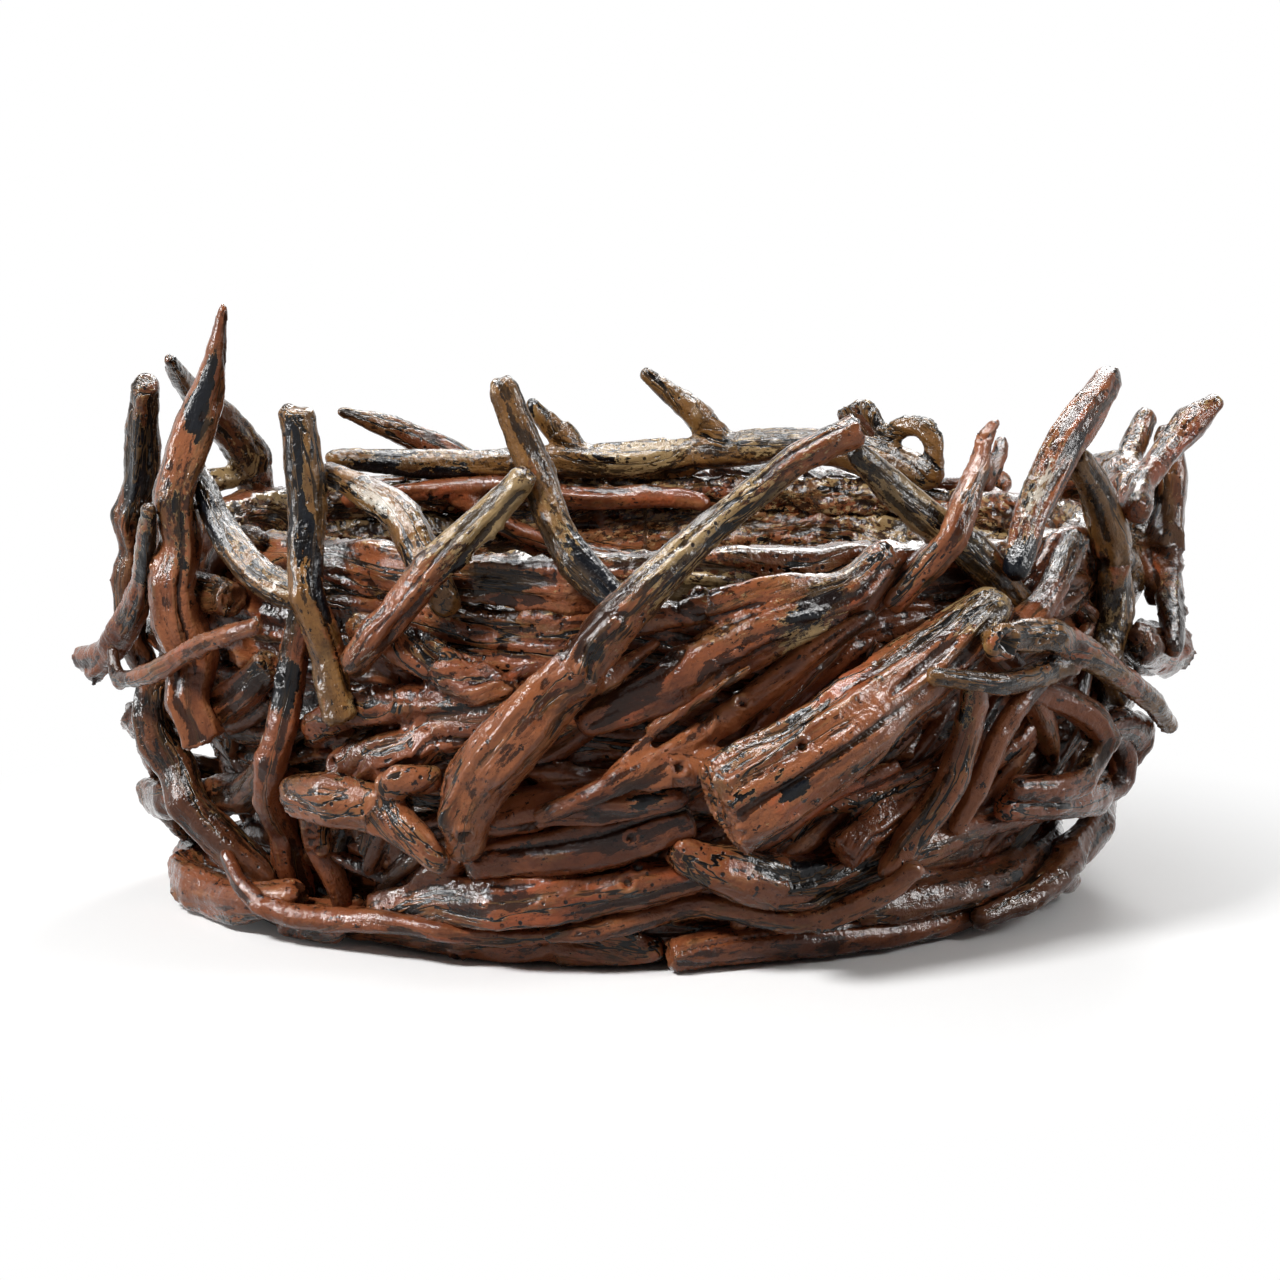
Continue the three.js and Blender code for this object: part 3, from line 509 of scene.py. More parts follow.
@dataclass(frozen=True)
class Accent:
    """A patch of one glaze or a knot, at a place that the photograph shows.

    pixel is its place in the photograph, and radius its size on the bowl in millimetres. A
    strength below 0 keeps the glaze away.
    """

    kind: Kind
    pixel: tuple[float, float]
    radius: float
    stretch: float = 2.0
    strength: float = 1.0


# Each line is what stands out at one place: a dark pool of glaze, a pale patch that is partly milky glaze
# and partly a painted highlight, an olive or rusty bloom
ACCENTS = [
    # Pale glaze on the crests: partly milky glaze, partly painted highlights and reflections
    Accent(Kind.PALE_AND_HIGHLIGHT, (273, 591), 4, 3),
    Accent(Kind.PALE_AND_HIGHLIGHT, (359, 655), 6, 1.2),
    Accent(Kind.PALE_AND_HIGHLIGHT, (372, 508), 3.5, 2.5),
    Accent(Kind.PALE_AND_HIGHLIGHT, (384, 500), 2.5, 9),
    Accent(Kind.PALE_AND_HIGHLIGHT, (265, 729), 2.5, 5),
    Accent(Kind.PALE_AND_HIGHLIGHT, (188, 775), 2.5, 3),
    Accent(Kind.PALE_AND_HIGHLIGHT, (408, 436), 3.5, 3),
    Accent(Kind.PALE_AND_HIGHLIGHT, (461, 540), 4, 3),
    Accent(Kind.PALE_AND_HIGHLIGHT, (430, 590), 3, 3),
    Accent(Kind.PALE_AND_HIGHLIGHT, (1058, 463), 4.5, 4),
    Accent(Kind.PALE_AND_HIGHLIGHT, (1028, 515), 4.5, 4),
    Accent(Kind.PALE_AND_HIGHLIGHT, (912, 578), 2, 7),
    Accent(Kind.PALE_AND_HIGHLIGHT, (826, 444), 3, 5),
    Accent(Kind.PALE_AND_HIGHLIGHT, (738, 515), 2, 9, 0.6),
    Accent(Kind.PALE_AND_HIGHLIGHT, (677, 563), 2, 7, 0.6),
    Accent(Kind.OLIVE, (720, 530), 8, 5),
    Accent(Kind.PALE_AND_HIGHLIGHT, (611, 452), 3, 4),
    Accent(Kind.PALE_AND_HIGHLIGHT, (673, 450), 4, 1.5),
    Accent(Kind.PALE_AND_HIGHLIGHT, (849, 570), 5, 1.2),
    # Pools of near-black glaze
    Accent(Kind.DARK, (372, 518), 4.5, 3),
    Accent(Kind.DARK, (388, 473), 4, 6),
    Accent(Kind.DARK, (480, 548), 5, 3),
    Accent(Kind.DARK, (461, 563), 3, 4),
    Accent(Kind.DARK, (520, 580), 3.5, 3),
    Accent(Kind.DARK, (597, 582), 6, 2),
    Accent(Kind.DARK, (822, 597), 7, 1.5),
    Accent(Kind.DARK, (800, 622), 5, 3),
    Accent(Kind.DARK, (800, 717), 5, 1.5),
    Accent(Kind.DARK, (878, 669), 5, 1.5),
    Accent(Kind.DARK, (796, 790), 4, 1.5),
    Accent(Kind.DARK, (1077, 441), 4, 4),
    Accent(Kind.DARK, (945, 525), 4, 2.5),
    Accent(Kind.DARK, (1022, 560), 6, 2),
    Accent(Kind.DARK, (150, 560), 8, 3),
    Accent(Kind.DARK, (196, 440), 2.4, 6),
    Accent(Kind.DARK, (141, 470), 5, 4),
    Accent(Kind.DARK, (318, 590), 4, 5),
    Accent(Kind.DARK, (296, 480), 3, 8),
    Accent(Kind.DARK, (222, 540), 4, 7),
    Accent(Kind.DARK, (285, 680), 7, 1.5),
    Accent(Kind.DARK, (733, 745), 4, 2),
    Accent(Kind.DARK, (700, 880), 4, 1.2),
    Accent(Kind.DARK, (770, 865), 6, 1.5),
    Accent(Kind.DARK, (810, 870), 4, 3),
    Accent(Kind.DARK, (590, 650), 4, 3),
    Accent(Kind.DARK, (430, 500), 4, 3),
    Accent(Kind.DARK, (208, 378), 3, 5),
    Accent(Kind.DARK, (176, 505), 3, 6),
    # Olive and ochre crusts
    Accent(Kind.OLIVE, (233, 481), 7, 2),
    Accent(Kind.OLIVE, (292, 612), 5, 3),
    Accent(Kind.OLIVE, (500, 512), 8, 2),
    Accent(Kind.OLIVE, (759, 442), 7, 2),
    Accent(Kind.OLIVE, (640, 456), 7, 3),
    Accent(Kind.OLIVE, (1007, 645), 6, 1),
    Accent(Kind.OLIVE, (920, 520), 9, 3),
    Accent(Kind.OLIVE, (1010, 600), 10, 2),
    Accent(Kind.OLIVE, (1110, 620), 8, 3),
    Accent(Kind.OLIVE, (700, 590), 9, 2),
    Accent(Kind.OLIVE, (800, 640), 6, 2),
    Accent(Kind.OLIVE, (1060, 640), 60, 1, -1.0),
    Accent(Kind.OLIVE, (1130, 690), 60, 1, -1.0),
    # Iron-red flashes
    Accent(Kind.RUST, (1070, 660), 30, 2, 0.5),
    Accent(Kind.RUST, (832, 706), 9, 1.5),
    Accent(Kind.RUST, (990, 608), 10, 1.5),
    Accent(Kind.RUST, (1092, 413), 8, 2),
    Accent(Kind.RUST, (1096, 563), 5, 5),
    Accent(Kind.RUST, (1183, 422), 7, 1.5),
    Accent(Kind.RUST, (335, 580), 6, 1.5),
    Accent(Kind.RUST, (284, 676), 6, 1.5),
    Accent(Kind.RUST, (867, 671), 6, 2),
    Accent(Kind.RUST, (925, 590), 5, 3),
    Accent(Kind.RUST, (1001, 795), 10, 2),
    # Knots: a raised ring of clay round a hole
    Accent(Kind.KNOT, (465, 836), 3.2),
    Accent(Kind.KNOT, (321, 848), 2.6),
    Accent(Kind.KNOT, (281, 681), 2.4),
    Accent(Kind.KNOT, (335, 764), 3.2),
    Accent(Kind.KNOT, (311, 831), 2.2),
    Accent(Kind.KNOT, (225, 645), 1.8),
    Accent(Kind.KNOT, (1007, 645), 5.5),
    Accent(Kind.KNOT, (1185, 426), 2.4),
]


class Seen:
    """The accents, sorted by the CAD node that the photograph shows at their place."""

    # Each piece leans to some glazes, and slow clouds on it lean further
    LEANING = 0.14
    CLOUD = 0.4
    CLOUD_WIDTH = 30.0

    def __init__(self, view: PhotoView, accents: list[Accent]) -> None:
        self._found: dict[str, list[tuple[Accent, np.ndarray]]] = {}
        trees = {name: self._tree(node.data) for name, node in frame["nodes"].items()}
        for accent in accents:
            eye, ahead = view.ray(accent.pixel)
            hits = [(tree.ray_cast(eye, ahead), name) for name, tree in trees.items()]
            hits = [(hit[3], np.array(hit[0]) / MM, name) for hit, name in hits if hit[0]]
            if hits:
                _, place, name = min(hits, key=lambda hit: hit[0])
                self._found.setdefault(name, []).append((accent, place))
                LOG.debug("%s at %s on %s", accent.kind.name, accent.pixel, name)

    @staticmethod
    def _tree(mesh: bpy.types.Mesh) -> BVHTree:
        """A mesh's faces, ready for rays."""
        return BVHTree.FromPolygons([v.co for v in mesh.vertices], [p.vertices for p in mesh.polygons])

    def marks(self, name: str, points: np.ndarray, grain: np.ndarray, seed: int) -> np.ndarray:
        """How much each point calls for a glaze.

        Args:
            name: The CAD node that the points belong to.
            points: The points.
            grain: Their coordinates across and along the clay.
            seed: A number of the piece's own, which gives it a leaning of its own.

        Returns:
            An (n, 4) array of the calls for dark, olive, pale and rusty glaze; the pale call is partly a
            painted highlight.
        """
        leaning = np.random.default_rng(seed).uniform(-self.LEANING, self.LEANING, 4)
        clouds = [Noise(seed + 50 + k).layered(points / self.CLOUD_WIDTH, 2) for k in range(4)]
        result = leaning + self.CLOUD * np.stack(clouds, axis=1)
        for accent, place in self._found.get(name, []):
            if accent.kind is not Kind.KNOT:
                reach = self._distance(points, grain, place, accent.stretch) / accent.radius
                result[:, accent.kind.value] += accent.strength * np.exp(-(reach**2))
        return result

    def knots(self, name: str) -> list[tuple[np.ndarray, float]]:
        """The places and radii of a node's knots."""
        return [(place, a.radius) for a, place in self._found.get(name, []) if a.kind is Kind.KNOT]

    @staticmethod
    def _distance(points: np.ndarray, grain: np.ndarray, place: np.ndarray, stretch: float) -> np.ndarray:
        """Each point's distance from a place, which counts for less along the clay."""
        offset = points - place
        squared = (offset * offset).sum(axis=1)
        along = grain[:, 2] - grain[squared.argmin(), 2]
        return np.sqrt(np.maximum(squared - along**2, 0) + (along / stretch) ** 2)


# How the clay is worked


def own_shift(seed: int) -> float:
    """How far into the noise a piece lies, so that no two pieces are worked or glazed alike."""
    return 61.7 * (seed % 97)


@dataclass(frozen=True)
class Carving:
    """The worked surface of rolled clay. All sizes are in millimetres."""

    lump: float = 0.9
    lump_width: float = 13.0
    groove: float = 0.65
    groove_width: float = 8.5
    ridge: float = 0.3
    ridge_width: float = 3.4
    crease: float = 1.4
    crease_width: float = 8.5
    pit: float = 1.1
    pit_spacing: float = 8.0
    pit_radius: float = 1.1
    pit_share: float = 0.275
    dent: float = 0.35
    dent_width: float = 4.5
    stretch: float = 8.0
    full_radius: float = 8.0
    forces: tuple[float, float] = (0.45, 1.7)
    grown: float = 0.3

    def heights(self, grain: np.ndarray, seed: int) -> tuple[np.ndarray, np.ndarray]:
        """The carved height of each point, and how much it stands out from its surroundings.

        Args:
            grain: Coordinates across and along the clay.
            seed: A number of the piece's own.

        Returns:
            The heights in millimetres, and the tone from -1 in a crease to 1 on a crest.
        """
        # Thick branches were worked more deeply than thin ones
        force = np.clip(np.hypot(grain[:, 0], grain[:, 1]) / self.full_radius, *self.forces)
        shifted = grain + own_shift(seed)
        drawn = shifted * np.array([1, 1, 1 / self.stretch])
        lumps = Noise(seed).layered(shifted * np.array([1, 1, 0.5]) / self.lump_width, 2)
        grooves = Noise(seed + 7).ridges(drawn / self.groove_width, 1)
        ridges = Noise(seed + 1).ridges(drawn / self.ridge_width)
        strength = 0.6 + 0.4 * Noise(seed + 2).at(drawn / 16)
        lines = np.abs(Noise(seed + 3).layered(drawn * [1, 1, 0.6] / self.crease_width, 2))
        open_here = smoothstep(-0.2, 0.3, Noise(seed + 4).at(drawn / 13))
        creases = (1 - smoothstep(0.0, 0.15, lines)) * open_here
        pits = self._pits(shifted, seed)
        dents = Noise(seed + 8).layered(shifted / self.dent_width, 2)
        height = force * (self.lump * lumps + self.groove * grooves - self.crease * creases)
        height += self.ridge * ridges * strength - self.pit * pits + self.dent * dents
        tone = 0.5 * grooves + 0.45 * ridges * strength - 1.5 * creases - 1.2 * pits
        return height, np.clip(tone, -1, 1)

    def _pits(self, points: np.ndarray, seed: int) -> np.ndarray:
        """Small round holes, one for some of the cells of a jittered lattice."""
        scaled = points * np.array([1, 1, 0.7]) / self.pit_spacing
        cell = np.floor(scaled).astype(np.int64)
        jitter = [Noise(seed + 16 + k).corner(cell) * 0.3 + 0.5 for k in range(3)]
        gap = np.linalg.norm(scaled - cell - np.stack(jitter, axis=1), axis=1) * self.pit_spacing
        radius = self.pit_radius + 0.9 * np.abs(Noise(seed + 9).corner(cell))
        pitted = Noise(seed + 5).corner(cell) > 1 - 2 * self.pit_share
        return pitted * (1 - smoothstep(0.35, 1.0, gap / radius))


BRANCH_CARVING = Carving()
STRAND_CARVING = Carving(lump=0.6, groove=0.45, ridge=0.3, crease=0.8, pit=0.5, dent=0.25, full_radius=4.0)


def knotted(points: np.ndarray, knots: list[tuple[np.ndarray, float]]) -> tuple[np.ndarray, np.ndarray]:
    """The height and tone that knots add: each is a raised ring round a hole.

    Args:
        points: The points, in millimetres.
        knots: The knots' places and radii.

    Returns:
        What the knots add to the heights and to the tones.
    """
    height, tone = np.zeros(len(points)), np.zeros(len(points))
    for place, radius in knots:
        reach = np.linalg.norm(points - place, axis=1) / radius
        ring = np.exp(-(((reach - 0.9) / 0.32) ** 2))
        hole = 1 - smoothstep(0.3, 0.75, reach)
        height += radius * (0.38 * ring - 0.6 * hole)
        tone += 0.9 * ring - 1.6 * hole
    return height, tone


# Finishes


def linear(colour: str) -> tuple[float, float, float, float]:
    """An sRGB hex colour as linear red, green, blue and alpha."""
    parts = [int(colour[i : i + 2], 16) / 255 for i in (0, 2, 4)]
    red, green, blue = (p / 12.92 if p <= 0.04045 else ((p + 0.055) / 1.055) ** 2.4 for p in parts)
    return red, green, blue, 1.0


class NodeTree:
    """A material's nodes, with one way to add each of them."""

    def __init__(self, name: str) -> None:
        self.material = bpy.data.materials.new(name)
        self.material.use_nodes = True
        self.tree = self.material.node_tree
        self.tree.nodes.clear()

    def add(
        self, kind: str, sockets: dict | None = None, out: int | str | None = 0, **settings: object
    ) -> Socket:
        """Adds a node.

        Args:
            kind: The node's type, without the ShaderNode prefix.
            sockets: Input names or numbers, with a value or an output socket for each.
            out: The name or number of the output to give back, or None for a node without one.
            settings: The node's own properties.

        Returns:
            The output socket.
        """
        made = self.tree.nodes.new("ShaderNode" + kind)
        for key, value in settings.items():
            setattr(made, key, value)
        for key, value in (sockets or {}).items():
            if isinstance(value, bpy.types.NodeSocket):
                self.tree.links.new(value, made.inputs[key])
            else:
                made.inputs[key].default_value = value
        return made.outputs[out] if out is not None else None


@dataclass(frozen=True)
class Layer:
    """A colour that lies in patches, where a noise drawn out along the clay passes a limit.

    width is a patch's width in millimetres, and stretch how much longer than wide it is. A lower
    limit gives more patches. mark is the channel of the marks that calls for more of them. halo is
    a thinner rim of another colour round each patch.
    """

    colour: str
    width: float
    stretch: float
    limit: float
    edge: float = 0.02
    detail: float = 5.0
    rough: float = 0.6
    strength: float = 1.0
    mark: Kind | None = None
    halo: str | None = None


@dataclass(frozen=True)
class Glaze:
    """A mottled gloss glaze that breaks light over crests and pools dark in creases."""

    name: str
    lit: str
    deep: str
    crest: str
    pool: str
    olive: str = "6E5231"
    ochre: str = "906C40"
    cream: str = "AA8E62"
    rust: str = "A65634"
    # The pale colour is partly milky glaze and partly painted highlights
    pale_and_highlight: str = "D2CABB"
    dark: str = "0B0706"
    navy: str = "0C0F16"
    mottle: float = 0.5
    dark_limit: float = 0.64
    olive_limit: float = 0.58

    # How wide a patch's halo is, and how strongly a mark calls for a patch, in units of the noise
    HALO: ClassVar[float] = 0.014
    CALL: ClassVar[float] = 0.3

    def _layers(self) -> list[Layer]:
        """The glaze's patches, from the lowest to the uppermost."""
        return [
            # Cloudy change of thickness, so that the eye reads brown glaze over red clay
            Layer(self.deep, 10, 2.6, 0.46, 0.18, 4, 0.6, 0.75),
            Layer(self.rust, 15, 2.5, 0.64, 0.08, 5, 0.6, 0.7, Kind.RUST),
            # Thin, crystalline bloom, olive to ochre, broken by fine mottling
            Layer(self.olive, 13, 3, self.olive_limit, 0.14, 6, 0.68, 0.6, Kind.OLIVE),
            Layer(self.deep, 2.2, 1.7, 0.56, 0.06, 5, 0.72, self.mottle),
            Layer(self.pool, 1.9, 1.8, 0.655, 0.04, 4, 0.7, 0.85, Kind.OLIVE),
            Layer(self.cream, 1.5, 2.6, 0.72, 0.05, 4, 0.65, 0.8, Kind.OLIVE),
            # Ragged pools of near-black glaze with a cream rim, and specks of it where iron bled through
            Layer(self.dark, 7, 2.6, self.dark_limit, 0.012, 7, 0.66, 1.0, Kind.DARK, self.cream),
            Layer(self.dark, 3.2, 1.4, 0.625, 0.02, 5, 0.68, 0.95),
            # Pale glaze that crackled on the crests, partly milky glaze and partly painted highlights
            Layer(self.pale_and_highlight, 1.7, 3, 0.85, 0.04, 6, 0.72, 0.75, Kind.PALE_AND_HIGHLIGHT),
        ]

    def _patch(
        self, tree: NodeTree, layer: Layer, grain: Socket, marks: dict[Kind, Socket], shift: float
    ) -> Socket:
        """The noise of a layer, with its marks' call added."""
        sockets = {"Vector": grain, "Location": (shift, shift, shift), "Scale": (1, 1, 1 / layer.stretch)}
        drawn = tree.add("Mapping", sockets)
        scale = {"Scale": 1 / layer.width, "Detail": layer.detail, "Roughness": layer.rough}
        noise = tree.add("TexNoise", {"Vector": drawn, **scale})
        if layer.mark is None:
            return noise
        call = tree.add("Math", {0: marks[layer.mark], 1: self.CALL}, operation="MULTIPLY")
        return tree.add("Math", {0: noise, 1: call}, operation="ADD")

    def _relief(self, tree: NodeTree, grain: Socket, cracks: Socket, holes: Socket) -> Socket:
        """The glaze's fine relief: brush and pull marks along the clay, orange peel, cracks, pinholes."""
        drawn = tree.add("Mapping", {"Vector": grain, "Location": (7, 7, 7), "Scale": (1, 1, 1 / 7)})
        pulled = tree.add("TexNoise", {"Vector": drawn, "Scale": 1 / 2.4, "Detail": 4, "Roughness": 0.62})
        peel = tree.add("TexNoise", {"Vector": grain, "Scale": 1 / 1.9, "Detail": 3, "Roughness": 0.6})
        relief = tree.add("Math", {0: peel, 1: 1.2, 2: pulled}, operation="MULTIPLY_ADD")
        relief = tree.add("Math", {0: cracks, 1: -0.5, 2: relief}, operation="MULTIPLY_ADD")
        return tree.add("Math", {0: holes, 1: -0.6, 2: relief}, operation="MULTIPLY_ADD")

    def material(self) -> bpy.types.Material:
        """The glaze as a material."""
        tree = NodeTree(self.name)
        grain = tree.add("Attribute", out="Vector", attribute_name="grain")
        tone = tree.add("Attribute", out="Fac", attribute_name="tone")
        calls = tree.add("Attribute", out="Vector", attribute_name="calls")
        stored = (Kind.DARK, Kind.OLIVE, Kind.PALE_AND_HIGHLIGHT)
        marks = {kind: tree.add("SeparateXYZ", {0: calls}, kind.value) for kind in stored}
        marks[Kind.RUST] = tree.add("Attribute", out="Fac", attribute_name="rusty")
        soft = {"interpolation_type": "SMOOTHSTEP"}

        # Crests break light and creases pool dark, which shows the carving
        crest = tree.add("MapRange", {0: tone, 1: 0.25, 2: 0.95, 4: 0.6}, **soft)
        body = tree.add("Mix", {0: crest, 6: linear(self.lit), 7: linear(self.crest)}, 2, data_type="RGBA")
        for number, layer in enumerate(self._layers()):
            noise = self._patch(tree, layer, grain, marks, 13.7 * number)
            if layer.halo:
                low = layer.limit - self.HALO
                rim = tree.add("MapRange", {0: noise, 1: low, 2: low + 0.01}, **soft)
                crusted = {0: marks[Kind.OLIVE], 1: -0.1, 2: 0.5, 3: 0.15, 4: 0.85}
                crusted = tree.add("MapRange", crusted, **soft)
                rim = tree.add("Math", {0: rim, 1: crusted}, operation="MULTIPLY")
                body = tree.add("Mix", {0: rim, 6: body, 7: linear(layer.halo)}, 2, data_type="RGBA")
            sockets = {0: noise, 1: layer.limit, 2: layer.limit + layer.edge, 4: layer.strength}
            patch = tree.add("MapRange", sockets, **soft)
            colour: object = linear(layer.colour)
            if layer.colour == self.dark:
                # The pools look blue where they are thickest
                deep = tree.add("MapRange", {0: noise, 1: layer.limit + 0.03, 2: layer.limit + 0.12}, **soft)
                colour = tree.add("Mix", {0: deep, 6: colour, 7: linear(self.navy)}, 2, data_type="RGBA")
            body = tree.add("Mix", {0: patch, 6: body, 7: colour}, 2, data_type="RGBA")
        # Dark glaze gathers in the hollows and breaks into flecks at its edge
        drawn = tree.add("Mapping", {"Vector": grain, "Location": (29, 29, 29), "Scale": (1, 1, 1 / 3)})
        noise = tree.add("TexNoise", {"Vector": drawn, "Scale": 1 / 2.6, "Detail": 6, "Roughness": 0.75})
        ragged = tree.add("Math", {0: noise, 1: 2.4, 2: tone}, operation="MULTIPLY_ADD")
        pool = tree.add("MapRange", {0: ragged, 1: 0.66, 2: 0.5, 4: 0.85}, **soft)
        body = tree.add("Mix", {0: pool, 6: body, 7: linear(self.pool)}, 2, data_type="RGBA")

        # Long black cracks with an ochre edge, along the clay
        drawn = tree.add("Mapping", {"Vector": grain, "Location": (47, 47, 47), "Scale": (1, 1, 1 / 9)})
        noise = tree.add("TexNoise", {"Vector": drawn, "Scale": 1 / 6.5, "Detail": 3, "Roughness": 0.6})
        gap = tree.add("Math", {0: noise, 1: 0.5}, operation="SUBTRACT")
        gap = tree.add("Math", {0: gap}, operation="ABSOLUTE")
        open_here = tree.add("TexNoise", {"Vector": drawn, "Scale": 1 / 14, "Detail": 1})
        open_here = tree.add("MapRange", {0: open_here, 1: 0.44, 2: 0.6}, **soft)
        edge = tree.add("MapRange", {0: gap, 1: 0.05, 2: 0.035, 4: 0.35}, **soft)
        edge = tree.add("Math", {0: edge, 1: open_here}, operation="MULTIPLY")
        body = tree.add("Mix", {0: edge, 6: body, 7: linear(self.ochre)}, 2, data_type="RGBA")
        crack = tree.add("MapRange", {0: gap, 1: 0.03, 2: 0.015}, **soft)
        crack = tree.add("Math", {0: crack, 1: open_here}, operation="MULTIPLY")
        body = tree.add("Mix", {0: crack, 6: body, 7: linear(self.dark)}, 2, data_type="RGBA")

        # Pinholes, where gas came out of the clay
        cell = tree.add("TexVoronoi", {"Vector": grain, "Scale": 1 / 3.4}, "Distance")
        hole = tree.add("MapRange", {0: cell, 1: 0.24, 2: 0.15}, **soft)
        some = tree.add("MapRange", {0: open_here, 1: 0.8, 2: 1.0}, **soft)
        hole = tree.add("Math", {0: hole, 1: some}, operation="MULTIPLY")
        body = tree.add("Mix", {0: hole, 6: body, 7: linear(self.pool)}, 2, data_type="RGBA")

        # A clear, smooth coat over a satin body gives sharp glints with a soft sheen round them
        relief = self._relief(tree, grain, crack, hole)
        bump = tree.add("Bump", {"Strength": 1.0, "Distance": 0.5 * MM, "Height": relief})
        skin = tree.add("Bump", {"Strength": 1.0, "Distance": 0.34 * MM, "Height": relief})
        sheen = tree.add("TexNoise", {"Vector": drawn, "Scale": 1 / 3.5, "Detail": 3})
        sheen = tree.add("MapRange", {0: sheen, 1: 0.35, 2: 0.7, 3: 0.22, 4: 0.45}, **soft)
        shader = tree.add(
            "BsdfPrincipled",
            {
                "Base Color": body,
                "Roughness": sheen,
                "Specular IOR Level": 0.04,
                "Coat Weight": 1.0,
                "Coat Roughness": 0.03,
                "Coat IOR": 1.28,
                "Normal": bump,
                "Coat Normal": skin,
            },
        )
        tree.add("OutputMaterial", {0: shader}, None)
        return tree.material


class Finish(Enum):
    """The glazes, one for each of the record's material slots."""

    TERRACOTTA = Glaze(
        "terracotta glaze", "925736", "5A2B14", "BC855A", "1C0A04",
        mottle=0.45, dark_limit=0.675,
    )
    UMBER = Glaze(
        "umber glaze", "854B2D", "4C2312", "AC774E", "160804",
        mottle=0.5, dark_limit=0.665,
    )
    DARK = Glaze(
        "dark glaze", "6C3F26", "361A0C", "966C46", "0E0603",
        dark_limit=0.62,
    )
    OLIVE = Glaze(
        "olive glaze", "80592F", "442B14", "AA8A58", "140A04",
        mottle=0.65, dark_limit=0.635, olive_limit=0.53,
    )


class Palette:
    """Makes each finish's material once."""

    def __init__(self) -> None:
        self._made: dict[Finish, bpy.types.Material] = {}
        self._finishes = {f"{f.name.lower()}_glaze": f for f in Finish}
        self._slots = {s["node"]: s["material_slot"] for s in frame["record"]["subparts"]}

    def finish_of(self, node: str) -> Finish:
        """The finish that the record gives a CAD node."""
        return self._finishes[self._slots[node]]

    def coat(self, piece: bpy.types.Object, finish: Finish) -> None:
        """Gives a piece the material of its finish."""
        if finish not in self._made:
            self._made[finish] = finish.value.material()
        piece.data.materials.clear()
        piece.data.materials.append(self._made[finish])


# Sub-assemblies


def put_attribute(mesh: bpy.types.Mesh, name: str, values: np.ndarray) -> None:
    """Stores a number or a vector for each vertex."""
    kind, key = ("FLOAT", "value") if values.ndim == 1 else ("FLOAT_VECTOR", "vector")
    attribute = mesh.attributes.new(name, kind, "POINT")
    attribute.data.foreach_set(key, values.astype(np.float32).ravel())


def put_finish(mesh: bpy.types.Mesh, grain: np.ndarray, tone: np.ndarray, calls: np.ndarray) -> None:
    """Stores what the glaze reads: the grain, the tone and the calls for each kind of glaze."""
    put_attribute(mesh, "grain", grain)
    put_attribute(mesh, "tone", np.clip(tone, -1, 1))
    put_attribute(mesh, "calls", calls[:, :3])
    put_attribute(mesh, "rusty", calls[:, 3])


# The heights in millimetres between which the glaze turns to olive, and the upper left side, whose crests
# get pale glaze as a painted highlight
OLIVE_RISE = (80, 150)
HIGHLIGHT_SIDE = np.array([-0.45, -0.45, 0.77])


def with_bloom_and_highlight(calls: np.ndarray, points: np.ndarray, normals: np.ndarray) -> np.ndarray:
    """The calls, with more olive high up and on what faces up, and pale glaze as a painted highlight on the
    crests that face the upper left.
    """
    result = calls.copy()
    result[:, Kind.OLIVE.value] += 0.25 * smoothstep(0.1, 0.9, normals[:, 2])
    result[:, Kind.OLIVE.value] += 0.28 * smoothstep(*OLIVE_RISE, points[:, 2]) - 0.1
    # Pale glaze on what faces the upper left is a painted highlight
    result[:, Kind.PALE_AND_HIGHLIGHT.value] += 0.22 * smoothstep(0.55, 1.0, normals @ HIGHLIGHT_SIDE)
    return result


def shown(name: str, mesh: bpy.types.Mesh) -> bpy.types.Object:
    """An object of the bowl, smooth-shaded and riding on its one body."""
    mesh.name = name
    mesh.shade_smooth()
    piece = bpy.data.objects.new(name, mesh)
    bpy.context.scene.collection.objects.link(piece)
    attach(piece, "root")
    return piece


